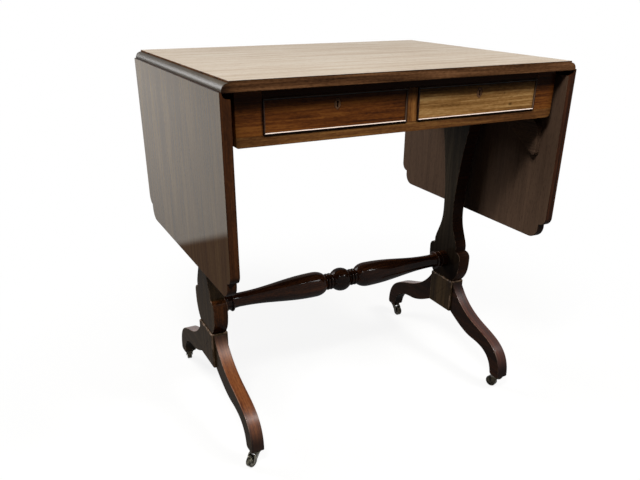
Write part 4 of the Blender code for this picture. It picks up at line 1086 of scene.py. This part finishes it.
def make_leaf(name, side, width):
    """A leaf: its outline thickened along X, with the cove and the hinge pockets cut out of its head."""
    node = name + "_leaf"
    low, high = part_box(node)
    pin = Vector(joint_of(node + "_hinge")["pos_m"])
    pin_x = abs(pin.x)
    pin_z = pin.z
    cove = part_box("top_board")[1].x - pin_x + GAP
    leaf = new_piece(node + "_finish", slab(leaf_outline(low, high), low.x, high.x, "YZ", width)[:2])
    past = 2 * cove
    curve = arc((pin_x, pin_z), cove, 0, -90)
    above = pin_z + past
    head = outline_of(curve, (pin_x - past, pin_z - cove), (pin_x - past, above), (pin_x + cove, above))
    tools = [cutter(node + "_cove", flipped(head, side), low.y - cove, high.y + cove, "XZ")]
    for end in ENDS:
        flap_low, flap_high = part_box(f"{name}_{end}_hinge_leaf_flap")
        ends = sorted((side * (inner_x(node) - cove), side * (inner_x(node) + POCKET_DEPTH)))
        corner_low = (ends[0], flap_low.y - GAP, flap_low.z - GAP)
        corner_high = (ends[1], flap_high.y + GAP, pin_z)
        tools.append(block_cutter(f"{name}_{end}_pocket", corner_low, corner_high))
    cut(leaf, *tools)
    edges, outer_face = LEAF_WOODS[name]
    stand_for(leaf, node, edges)
    head_z = high.z - 2 * width
    # The leaf's head is painted nearly black, as shade under the top
    repaint(leaf, {
        "darkened_mahogany": lambda normals, centres: (centres[:, 2] > head_z) & (normals[:, 2] > FLAT),
        outer_face: lambda normals, centres: normals[:, 0] * side > FACE_ON,
        "bare_mahogany_upright": lambda normals, centres: normals[:, 0] * side < -SQUARE,
    })


class SOFATABLE_OT_top_and_leaves(bpy.types.Operator):
    """Make the top, faded and partly a painted sheen, and the two hanging leaves with their rule joints"""

    bl_idname = "sofa_table.top_and_leaves"
    bl_label = "Top and Leaves"

    def execute(self, context):
        width = context.scene.sofa_table_sizes.board_arris
        make_top(width)
        for name, side in SIDES.items():
            make_leaf(name, side, width)
        return {"FINISHED"}


def screw_head(y, z, face_x):
    """A slotted screw head on a face across X: two half discs with the slot between them."""
    ends = face_x - SCREW_PROUD, face_x + SCREW_PROUD
    gap_deg = math.degrees(math.asin(SCREW_SLOT / 2 / SCREW_RADIUS))
    halves = []
    for start in (0, 180):
        outline = outline_of(arc((y, z), SCREW_RADIUS, start + gap_deg, start + 180 - gap_deg))
        halves.append(slab(outline, *ends, "YZ", SCREW_ARRIS)[:2])
    return joined(*halves)


class SOFATABLE_OT_hinges(bpy.types.Operator):
    """Make the iron leaf hinges with their slotted screws"""

    bl_idname = "sofa_table.hinges"
    bl_label = "Hinges"

    def execute(self, context):
        width = context.scene.sofa_table_sizes.metal_arris
        for tag in TAGS:
            for flap in ("fixed", "leaf"):
                dress(f"{tag}_hinge_{flap}_flap", width, "hinge_iron_finish")
            low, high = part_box(f"{tag}_hinge_leaf_flap")
            name = tag.split("_")[0]
            leaf = name + "_leaf"
            face_x = SIDES[name] * max(inner_x(f"{tag}_hinge_leaf_flap"), inner_x(leaf))
            middle = (low.y + high.y) / 2
            heads = []
            for step in (-1, 0, 1):
                z = low.z + SCREW_DROP - abs(step) * SCREW_DROP / 2
                heads.append(screw_head(middle + step * SCREW_SPREAD, z, face_x))
            screws = new_piece(tag + "_hinge_screws", joined(*heads))
            add_to(screws, leaf, "hinge_iron_finish")
        return {"FINISHED"}


def make_board(node, material, width, plane="XZ", outline=None):
    """A squared board, or one of a given outline, that fills a node's box. A fine arris is not worn."""
    low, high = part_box(node)
    axes = PLANES[plane]
    if outline is None:
        outline = rectangle(low[axes[0]], low[axes[1]], high[axes[0]], high[axes[1]])
    shape = slab(outline, low[axes[2]], high[axes[2]], plane, width)
    if width < FINE_ARRIS:
        shape = shape[:2]
    return stand_for(new_piece(node + "_finish", shape), node, material)


def beaded(name, drawer_bead, back_y, front_y):
    """A cock bead as large as a drawer's, its section square behind and half round in front."""
    radius = BEAD_WIDTH / 2
    sign = 1 if front_y > back_y else -1
    nose = arc((radius, 0), radius, 180, 0) * (1, sign) + (0, front_y - sign * radius)
    section = np.vstack([[(0, back_y)], nose, [(BEAD_WIDTH, back_y)]])
    low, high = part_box(drawer_bead)
    return weld(new_piece(name, framed(section, low.x, low.z, high.x, high.z)))


def low_run(centres):
    """Pick the faces of a bead's lower run."""
    return centres[:, 2] < centres[:, 2].min() + BEAD_WIDTH


def highlight_on_low_run(normals, centres):
    """Pick the upper side of a bead's lower run, painted nearly white as a highlight."""
    return (normals[:, 2] > HIGHLIGHT_BEAD) & low_run(centres)


def highlight_on_high_run(normals, centres):
    """Pick the upper side of a bead's upper run, painted pale like the top as a highlight."""
    return (normals[:, 2] > HIGHLIGHT_BEAD) & ~low_run(centres)


def highlight_on_uprights(normals, centres):
    """Pick the inner sides of a bead's two upright runs, painted dull brown as a faint highlight."""
    right_run = centres[:, 0] > centres[:, 0].max() - BEAD_WIDTH
    left_run = centres[:, 0] < centres[:, 0].min() + BEAD_WIDTH
    return (right_run & (normals[:, 0] < -HIGHLIGHT_BEAD)) | (left_run & (normals[:, 0] > FLAT))


# Finishes of the sides of a bead that are painted as highlights
BEAD_HIGHLIGHTS = {
    "faded_mahogany_bead": highlight_on_uprights,
    "sun_faded_mahogany_bead": highlight_on_high_run,
    "rubbed_mahogany_bead": highlight_on_low_run,
}


class SOFATABLE_OT_frieze(bpy.types.Operator):
    """Make the rails, stiles, runners and fly brackets below the top"""

    bl_idname = "sofa_table.frieze"
    bl_label = "Frieze"

    def execute(self, context):
        sizes = context.scene.sofa_table_sizes
        width = sizes.joint_arris
        low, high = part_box("front_lower_rail")
        rail = outline_of(
            arc((low.x + LEFT_RAIL_ROUND, low.z + LEFT_RAIL_ROUND), LEFT_RAIL_ROUND, 180, 270),
            arc((high.x - LOWER_RAIL_ROUND, low.z + LOWER_RAIL_ROUND), LOWER_RAIL_ROUND, -90, 0),
            [(high.x, high.z), (low.x, high.z)],
        )
        make_board("front_lower_rail", "golden_mahogany_along_x", width, outline=rail)
        # The upper rail is painted nearly black, as shade under the top
        make_board("front_upper_rail", "darkened_mahogany", width)
        for name in SIDES:
            make_board(name + "_front_stile", "brown_mahogany_along_x", width)
        make_board("drawer_division", "golden_mahogany_upright", width)
        self.make_back(width)
        dress("centre_runner", width, "drawer_oak_along_y")
        for name in SIDES:
            dress(name + "_end_rail", width, "bare_mahogany_along_y")
        for tag in TAGS:
            dress(tag + "_fly", sizes.board_arris / 2, "bare_mahogany_along_y")
        return {"FINISHED"}

    def make_back(self, width):
        """The back rail with two beaded dummy drawers to match the front."""
        low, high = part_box("back_rail")
        shape = slab(rectangle(low.x, low.z, high.x, high.z), low.y, -FRONT_Y, "XZ", width)
        rail = new_piece("back_rail_finish", shape)
        stand_for(rail, "back_rail", "golden_mahogany_along_x")
        for name in SIDES:
            bead = beaded(name + "_dummy_bead", name + "_drawer_bead", -FRONT_Y - GAP, high.y)
            add_to(bead, "table", "polished_mahogany_bead")
            repaint(bead, BEAD_HIGHLIGHTS)


def shield_outline():
    """A kite-shaped key plate: a short flat head, square shoulders and a pointed foot."""
    half = [(0, -SHIELD_DROP), (SHIELD_HALF_WIDTH, -SHIELD_SHOULDER), (SHIELD_HALF_WIDTH, SHIELD_SHOULDER)]
    return mirrored(half, (SHIELD_TOP_HALF, SHIELD_RISE))


def keyhole_outline():
    """A round eye with a slot below it."""
    start_deg = -90 + math.degrees(math.asin(KEYHOLE_SLOT / 2 / KEYHOLE_RADIUS))
    eye = arc((0, KEYHOLE_RISE), KEYHOLE_RADIUS, start_deg, 90)
    return mirrored((KEYHOLE_SLOT / 2, -KEYHOLE_DROP), eye)


# Finish of each drawer front
DRAWER_WOODS = {"left": "brown_mahogany_along_x", "right": "figured_mahogany_right_drawer"}


def make_drawer_front(name, middle, width):
    """A drawer front: its lap behind the bead stepped up to the show face, with a keyhole through it."""
    node = name + "_drawer_front"
    low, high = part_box(node)
    lap_y = low.y + BEAD_SEAT
    levels = [
        (BEAD_REBATE + width, low.y), (BEAD_REBATE, low.y + width),
        (BEAD_REBATE, lap_y), (0, lap_y), (0, high.y),
    ]
    front = new_piece(node + "_finish", stacked(rectangle(low.x, low.z, high.x, high.z), levels, "XZ", 0))
    seat = outline_of(stretched(shield_outline(), SHIELD_SEAT_GAP) + middle)
    hole = keyhole_outline() + middle
    outer_y = low.y - SHIELD_DEPTH
    seat_tool = cutter(name + "_seat", seat, outer_y, low.y + SHIELD_DEPTH, "XZ")
    cut(front, seat_tool, cutter(name + "_hole", hole, outer_y, high.y + GAP, "XZ"))

    def in_keyhole(normals, centres):
        off = np.abs(centres[:, (0, 2)] - middle)
        inside = (off < (KEYHOLE_RADIUS + GAP, KEYHOLE_DROP + GAP)).all(axis=1)
        return (np.abs(normals[:, 1]) < FLAT) & inside

    stand_for(front, node, DRAWER_WOODS[name])
    # The keyhole's walls are painted nearly black, as shade in the hole
    repaint(front, {"darkened_mahogany": in_keyhole})
    face_y = low.y - SHIELD_PROUD
    back_y = low.y + SHIELD_DEPTH - GAP
    plate_levels = [(SHIELD_PROUD, face_y), (0, low.y), (0, back_y)]
    plate = new_piece(name + "_key_plate", stacked(shield_outline() + middle, plate_levels, "XZ", 0))
    cut(plate, cutter(name + "_plate_hole", hole, face_y - GAP, back_y + GAP, "XZ"))
    add_to(plate, name + "_drawer", "inlaid_key_plate")
    # The plate's keyhole walls are painted nearly black too, as shade in the hole
    repaint(plate, {"darkened_mahogany": in_keyhole})


def stretched(outline, distance):
    """Push an outline out from its middle by about one distance."""
    reach = np.linalg.norm(outline, axis=1, keepdims=True)
    return outline * (reach + distance) / reach


def make_lock(name, middle):
    """A brass box lock on the back of a drawer front, its bolt flush with the drawer's upper edge."""
    low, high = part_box(name + "_drawer_front")
    top = high.z - LOCK_TOP_DROP
    outline = rectangle(middle[0] - LOCK_HALF_WIDTH, top - LOCK_HEIGHT, middle[0] + LOCK_HALF_WIDTH, top)
    case = slab(outline, high.y + GAP, high.y + GAP + LOCK_THICKNESS, "XZ", FINE_ARRIS)
    bolt_outline = rectangle(middle[0] - BOLT_HALF_WIDTH, top - GAP, middle[0] + BOLT_HALF_WIDTH, high.z)
    bolt_y = high.y + BOLT_INSET
    bolt = slab(bolt_outline, bolt_y, bolt_y + BOLT_THICKNESS, "XZ", BOLT_ARRIS)
    piece = new_piece(name + "_drawer_lock", joined(case[:2], bolt[:2]))
    add_to(piece, name + "_drawer", "tarnished_brass")


class SOFATABLE_OT_drawers(bpy.types.Operator):
    """Make the two beaded drawers with their linings, key plates and locks"""

    bl_idname = "sofa_table.drawers"
    bl_label = "Drawers"

    def execute(self, context):
        sizes = context.scene.sofa_table_sizes
        for name in SIDES:
            low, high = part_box(name + "_drawer_front")
            middle_z = (low.z + high.z) / 2
            middle = ((low.x + high.x) / 2 + SHIELD_ASIDE[name], middle_z + SHIELD_ABOVE_MIDDLE)
            make_drawer_front(name, middle, sizes.joint_arris)
            make_lock(name, middle)
            node = name + "_drawer_bead"
            bead_low, bead_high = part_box(node)
            bead = beaded(node + "_finish", node, bead_high.y, bead_low.y)
            stand_for(bead, node, "polished_mahogany_bead")
            repaint(bead, BEAD_HIGHLIGHTS)
            for part, grain in (("inner_side", "y"), ("outer_side", "y"), ("back", "x"), ("bottom", "x")):
                dress(f"{name}_drawer_{part}", sizes.joint_arris, "drawer_oak_along_" + grain)
        return {"FINISHED"}


def standard_outline(low, high):
    """A trestle end seen along X: vase neck, collar and pear-shaped bulb."""
    bulb = high.y
    centre = (bulb - BULB_ROUND, COLLAR_BOTTOM_Z - BULB_ROUND)
    return mirrored(
        sweep((STANDARD_FOOT_HALF, low.z), (bulb, centre[1]), BULB_PULLS),
        arc(centre, BULB_ROUND, 0, 90),
        (COLLAR_HALF, COLLAR_BOTTOM_Z),
        sweep((COLLAR_HALF, COLLAR_TOP_Z), (WAIST_HALF, WAIST_Z), FLARE_PULLS),
        sweep((WAIST_HALF, WAIST_Z), (STANDARD_TOP_HALF, high.z), NECK_PULLS),
    )


def leg_outline(root, reach, block_low, block_high, toe_z):
    """A leg seen along X: a cyma sweep from the block out to an upright toe."""
    heel = reach - TOE_DEPTH
    waist_top = (LEG_WAIST_Y, LEG_WAIST_TOP_Z)
    waist_bottom = (LEG_WAIST_Y, LEG_WAIST_BOTTOM_Z)
    shin_z = toe_z + TOE_CHAMFER
    return outline_of(
        sweep((root, block_high - LEG_SHOULDER_DROP), waist_top, LEG_SHOULDER_PULLS),
        sweep(waist_top, (reach, shin_z), LEG_KNEE_PULLS),
        [(reach - TOE_CHAMFER, toe_z), (heel + TOE_CHAMFER, toe_z)],
        sweep((heel, shin_z), waist_bottom, LEG_HEEL_PULLS),
        sweep(waist_bottom, (root, block_low), LEG_UNDER_PULLS),
    )


def bulb_edge(normals, centres):
    """Pick the rounded edges of a trestle end's bulb."""
    return (np.abs(normals[:, 0]) < SQUARE) & (centres[:, 2] < COLLAR_BOTTOM_Z)


def standard_edge(normals, centres):
    """Pick all the edges of a trestle end."""
    return np.abs(normals[:, 0]) < SQUARE


# Finishes of each trestle end's standard, of its edges and of its legs' sides; the right end's are
# painted shade, with a painted sheen greying the head of its standard
STANDARD_WOODS = {
    "left": ("polished_mahogany_upright", {"polished_mahogany_rim": bulb_edge}),
    "right": ("dusty_mahogany_upright", {"darkened_mahogany": standard_edge}),
}
LEG_SIDES = {"left": "polished_mahogany_along_y", "right": "darkened_mahogany_along_y"}

# The leg whose face has lost most of its colour
LEG_FACES = {"left_front_leg": "rubbed_mahogany_leg"}


def leg_face(normals, centres):
    """Pick the upper face of a leg with its two arrises."""
    return (np.abs(normals[:, 0]) < SQUARE) & (normals[:, 2] > -FLAT)


class SOFATABLE_OT_trestles(bpy.types.Operator):
    """Make the trestle ends: bearers, standards, blocks and swept legs"""

    bl_idname = "sofa_table.trestles"
    bl_label = "Trestle Ends"

    def execute(self, context):
        sizes = context.scene.sofa_table_sizes
        for name in SIDES:
            low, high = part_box(name + "_bearer")
            corner = arc((high.y - BEARER_END_ROUND, low.z + BEARER_END_ROUND), BEARER_END_ROUND, -90, 0)
            bearer = mirrored(corner, (high.y, high.z))
            width = sizes.board_arris
            make_board(name + "_bearer", "bare_mahogany_along_y", width, "YZ", bearer)
            standard = standard_outline(*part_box(name + "_standard"))
            face, edges = STANDARD_WOODS[name]
            piece = make_board(name + "_standard", face, sizes.leg_arris, "YZ", standard)
            repaint(piece, edges)
            make_board(name + "_block", "polished_mahogany_upright", BLOCK_CHAMFER, "YZ")
            block_low, block_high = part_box(name + "_block")
            for end_name, end in ENDS.items():
                node = f"{name}_{end_name}_leg"
                root, reach = sorted(abs(corner.y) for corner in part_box(node))
                outline = leg_outline(root, reach, block_low.z, block_high.z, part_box(node)[0].z)
                leg = flipped(outline, end)
                piece = make_board(node, LEG_SIDES[name], sizes.leg_arris, "YZ", leg)
                repaint(piece, {LEG_FACES.get(node, "polished_mahogany_leg"): leg_face})
        return {"FINISHED"}


def stretcher_half(length_x):
    """Half of the turned profile as (x, r): ball, two rings, long baluster, collar ring and end disc."""
    ball_end = math.sqrt(BALL_RADIUS ** 2 - BALL_NECK_RADIUS ** 2)
    ball_deg = math.degrees(math.asin(ball_end / BALL_RADIUS))
    ring_a = ball_end + RING_HALF_WIDTH + RING_SPACE
    ring_b = ring_a + 2 * RING_HALF_WIDTH + RING_SPACE
    swell_x = ring_b + RING_HALF_WIDTH + RING_SPACE
    neck_x = length_x - NECK_INSET
    collar_x = length_x - COLLAR_RING_INSET
    disc_x = length_x - STRETCHER_END_LENGTH
    foot = NECK_RADIUS + RING_HALF_WIDTH / 2
    edge = RING_SPACE / 2
    stretches = [arc((0, 0), BALL_RADIUS, 90, 90 - ball_deg)]
    for ring in (ring_a, ring_b):
        stretches += [
            [(ring - RING_HALF_WIDTH, BALL_NECK_RADIUS)],
            arc((ring, RING_RADIUS - RING_HALF_WIDTH), RING_HALF_WIDTH, 180, 0),
            [(ring + RING_HALF_WIDTH, BALL_NECK_RADIUS)],
        ]
    stretches += [
        sweep((swell_x, BALL_NECK_RADIUS), (BALUSTER_PEAK_X, BALUSTER_RADIUS), SWELL_PULLS),
        sweep((BALUSTER_PEAK_X, BALUSTER_RADIUS), (neck_x, NECK_RADIUS), TAPER_PULLS),
        [(collar_x - RING_HALF_WIDTH, foot)],
        arc((collar_x, COLLAR_RING_RADIUS - RING_HALF_WIDTH), RING_HALF_WIDTH, 180, 0),
        [(disc_x, foot)],
        arc((disc_x + edge, STRETCHER_END_RADIUS - edge), edge, 180, 90),
        [(length_x, STRETCHER_END_RADIUS), (length_x, 0)],
    ]
    half = np.vstack([np.asarray(stretch, float) for stretch in stretches])
    return half[np.append(True, np.linalg.norm(np.diff(half, axis=0), axis=1) > SAME_POINT)]


def dark_rings(normals, centres):
    """Pick the stretcher's ball and the rings beside it, which are made darker."""
    return np.abs(centres[:, 0]) < DARK_RING_REACH


class SOFATABLE_OT_stretcher(bpy.types.Operator):
    """Turn the stretcher between the two trestle ends"""

    bl_idname = "sofa_table.stretcher"
    bl_label = "Stretcher"

    def execute(self, context):
        length_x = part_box("right_standard")[0].x - GAP
        half = stretcher_half(length_x)
        profile = np.vstack([half[:0:-1] * (-1, 1), half])
        points, faces = lathed(profile)
        piece = weld(new_piece("stretcher_finish", (points + (0, 0, STRETCHER_Z), faces)))
        stand_for(piece, "stretcher", "polished_mahogany_turned")
        repaint(piece, {"darkened_mahogany_turned": dark_rings})
        return {"FINISHED"}


def wheel_profile(half, radius):
    """A castor wheel's closed section as (x, r): bore, hub, dished web and rounded rim."""
    rim_x = half - WHEEL_EDGE
    right = [(half, WHEEL_BORE), (half, WHEEL_HUB), (half - WHEEL_DISH, WHEEL_HUB + WHEEL_DISH / 2)]
    right += [(half - WHEEL_DISH, WHEEL_WEB), (half, WHEEL_WEB + WHEEL_DISH / 2)]
    edge = arc((rim_x, radius - WHEEL_EDGE), WHEEL_EDGE, 0, 90)
    half_section = np.vstack([right, edge])
    section = np.vstack([half_section, half_section[::-1] * (-1, 1)])
    return np.vstack([section, section[:1]])


# The castor that is rubbed bright
CASTOR_BRASS = {"left_front": "rubbed_brass"}


class SOFATABLE_OT_castors(bpy.types.Operator):
    """Make the four brass castors: plates, horns and wheels"""

    bl_idname = "sofa_table.castors"
    bl_label = "Castors"

    def execute(self, context):
        width = context.scene.sofa_table_sizes.metal_arris
        for tag in TAGS:
            brass = CASTOR_BRASS.get(tag, "tarnished_brass")
            for part in ("plate", "horn"):
                dress(f"{tag}_castor_{part}", width, brass)
            self.make_wheel(tag, brass)
        return {"FINISHED"}

    def make_wheel(self, tag, brass):
        """A turned wheel laid on the axle of its spin joint."""
        joint = joint_of(tag + "_wheel_spin")
        axle = Vector(joint["axis"]).normalized()
        node = tag + "_castor_wheel"
        solid = frame["nodes"][node].data
        points = np.empty(len(solid.vertices) * 3)
        solid.vertices.foreach_get("co", points)
        offset = points.reshape(-1, 3) - np.asarray(joint["pos_m"])
        along = offset @ np.asarray(axle)
        half = np.abs(along).max()
        radius = np.linalg.norm(offset - along[:, None] * np.asarray(axle), axis=1).max()
        wheel = weld(new_piece(node + "_finish", lathed(wheel_profile(half, radius), LATHE_STEPS // 2)))
        turn = Vector((1, 0, 0)).rotation_difference(axle).to_matrix().to_4x4()
        wheel.data.transform(Matrix.Translation(joint["pos_m"]) @ turn)
        stand_for(wheel, node, brass)


def seen_rays(tree):
    """One for a ray from the camera or off a glossy or clear surface, nought for light on the object."""
    rays = add_node(tree, "ShaderNodeLightPath").outputs
    seen = add_node(
        tree, "ShaderNodeMath", {0: rays["Is Camera Ray"], 1: rays["Is Glossy Ray"]}, operation="MAXIMUM"
    )
    every = add_node(
        tree, "ShaderNodeMath", {0: seen.outputs[0], 1: rays["Is Transmission Ray"]}, operation="MAXIMUM"
    )
    return every.outputs[0]


def make_world(scene, stage):
    """White to the eye and in reflections, and a dimmer even light on the object."""
    world = bpy.data.worlds.new("studio")
    world.use_nodes = True
    tree = world.node_tree
    tree.nodes.clear()
    strength = add_node(
        tree, "ShaderNodeMapRange", {"Value": seen_rays(tree), "To Min": stage.room_light, "To Max": 1.0}
    )
    light = add_node(
        tree, "ShaderNodeBackground", {"Color": WHITE, "Strength": strength.outputs["Result"]}
    )
    add_node(tree, "ShaderNodeOutputWorld", {"Surface": light.outputs["Background"]})
    scene.world = world


# Share of the shadow's radius from which it fades, and of plain white that the floor shows near the table
FADE_START = 1 / 3
NEAR_WHITE = 0.86


def make_floor(stage):
    """A pale disc that keeps the shadow near the table and goes white with distance."""
    outline = outline_of(arc((0, 0), stage.floor_radius, 0, 360, LATHE_STEPS))
    points = np.column_stack([outline, np.zeros(len(outline))])
    floor = new_piece("studio_floor", (points, [list(range(len(outline)))]))
    material, tree = new_material("pale_studio_floor")
    place = add_node(tree, "ShaderNodeTexCoord").outputs["Object"]
    span = add_node(tree, "ShaderNodeVectorMath", {0: place}, operation="LENGTH")
    fade = add_node(
        tree, "ShaderNodeMapRange",
        {"Value": span.outputs["Value"], "From Min": stage.shadow_radius * FADE_START,
         "From Max": stage.shadow_radius, "To Min": NEAR_WHITE, "To Max": 1.0},
        interpolation_type="SMOOTHSTEP",
    )
    seen = seen_rays(tree)
    share = add_node(tree, "ShaderNodeMath", {0: fade.outputs["Result"], 1: seen}, operation="MULTIPLY")
    tint = add_node(
        tree, "ShaderNodeMix",
        {MIX_FACTOR: seen, MIX_A: (*stage.floor_bounce, 1.0), MIX_B: (*stage.floor, 1.0)},
        data_type="RGBA",
    )
    matt = add_node(tree, "ShaderNodeBsdfDiffuse", {"Color": tint.outputs[MIX_RESULT]})
    white = add_node(tree, "ShaderNodeEmission", {"Color": WHITE, "Strength": 1.0})
    mixed = add_node(
        tree, "ShaderNodeMixShader",
        {0: share.outputs[0], 1: matt.outputs["BSDF"], 2: white.outputs["Emission"]},
    )
    add_node(tree, "ShaderNodeOutputMaterial", {"Surface": mixed.outputs["Shader"]})
    floor.data.materials.append(material)


# Bearing and height angle of each lamp in degrees
LAMPS = {
    "key_lamp_left": (-38.0, 52.0),
    "key_lamp_right": (43.0, 46.0),
    "glint_lamp_left": (-45.0, 47.0),
    "glint_lamp_right": (28.0, 53.0),
    "window_lamp": (215.0, 24.0),
}
LAMP_AIM = Vector((0.0, 0.0, 0.45))


def away(bearing, height):
    """The direction at a bearing from the front and a height angle, both in radians."""
    level = math.cos(height)
    return Vector((math.sin(bearing) * level, -math.cos(bearing) * level, math.sin(height)))


def make_lamps(scene, stage):
    """A soft lamp and a small one on each side, and a broad one behind the table like a window."""
    for name, (bearing_deg, height_deg) in LAMPS.items():
        back = away(math.radians(bearing_deg), math.radians(height_deg))
        kind = name.split("_")[0]
        lamp = bpy.data.lights.new(name, "AREA")
        lamp.size = getattr(stage, kind + "_size")
        lamp.energy = getattr(stage, kind + "_power")
        item = bpy.data.objects.new(name, lamp)
        item.location = LAMP_AIM + back * stage.lamp_distance
        item.rotation_euler = back.to_track_quat("Z", "Y").to_euler()
        scene.collection.objects.link(item)


def make_camera(scene, stage):
    """A camera at the stage's bearing, height, roll and distance."""
    back = away(stage.azimuth, stage.elevation)
    level = Vector((0, 0, 1)).cross(back).normalized()
    rise = back.cross(level)
    right = math.cos(stage.roll) * level + math.sin(stage.roll) * rise
    up = math.cos(stage.roll) * rise - math.sin(stage.roll) * level
    lens = bpy.data.cameras.new("photo_camera")
    lens.sensor_fit = "HORIZONTAL"
    lens.lens = stage.lens
    lens.shift_x, lens.shift_y = stage.shift
    camera = bpy.data.objects.new("photo_camera", lens)
    turn = Matrix((right, up, back)).transposed().to_4x4()
    camera.matrix_world = Matrix.Translation(Vector(stage.aim) + back * stage.distance) @ turn
    scene.collection.objects.link(camera)
    scene.camera = camera


class SOFATABLE_OT_stage(bpy.types.Operator):
    """Set up the floor, lamps, world and camera"""

    bl_idname = "sofa_table.stage"
    bl_label = "Stage"

    def execute(self, context):
        scene = context.scene
        stage = scene.sofa_table_stage
        scene.view_settings.view_transform = "Standard"
        make_world(scene, stage)
        make_floor(stage)
        make_lamps(scene, stage)
        make_camera(scene, stage)
        return {"FINISHED"}


OPERATORS = (
    SOFATABLE_OT_top_and_leaves,
    SOFATABLE_OT_hinges,
    SOFATABLE_OT_frieze,
    SOFATABLE_OT_drawers,
    SOFATABLE_OT_trestles,
    SOFATABLE_OT_stretcher,
    SOFATABLE_OT_castors,
    SOFATABLE_OT_stage,
)


class SOFATABLE_PT_looks(bpy.types.Panel):
    """Lists the table's pieces, colours and sizes"""

    bl_label = "Sofa Table"
    bl_space_type = "VIEW_3D"
    bl_region_type = "UI"
    bl_category = "Sofa Table"

    def draw(self, context):
        for operator in OPERATORS:
            self.layout.operator(operator.bl_idname)
        for group in GROUPS:
            settings = getattr(context.scene, group)
            for name in settings.bl_rna.properties.keys():
                if name not in ("rna_type", "name"):
                    self.layout.prop(settings, name)


GROUPS = {
    "sofa_table_colours": SofaTableColours,
    "sofa_table_sizes": SofaTableSizes,
    "sofa_table_stage": SofaTableStage,
}


def register():
    """Register the classes and hang the settings on the scene."""
    for group in (*GROUPS.values(), *OPERATORS, SOFATABLE_PT_looks):
        bpy.utils.register_class(group)
    for name, group in GROUPS.items():
        setattr(bpy.types.Scene, name, bpy.props.PointerProperty(type=group))


def unregister():
    """Take the settings off the scene and unregister the classes."""
    for name in GROUPS:
        delattr(bpy.types.Scene, name)
    for group in reversed((*GROUPS.values(), *OPERATORS, SOFATABLE_PT_looks)):
        bpy.utils.unregister_class(group)


def main():
    """Make every piece and the stage."""
    register()
    bpy.ops.sofa_table.top_and_leaves()
    bpy.ops.sofa_table.hinges()
    bpy.ops.sofa_table.frieze()
    bpy.ops.sofa_table.drawers()
    bpy.ops.sofa_table.trestles()
    bpy.ops.sofa_table.stretcher()
    bpy.ops.sofa_table.castors()
    bpy.ops.sofa_table.stage()


if __name__ == "__main__":
    main()
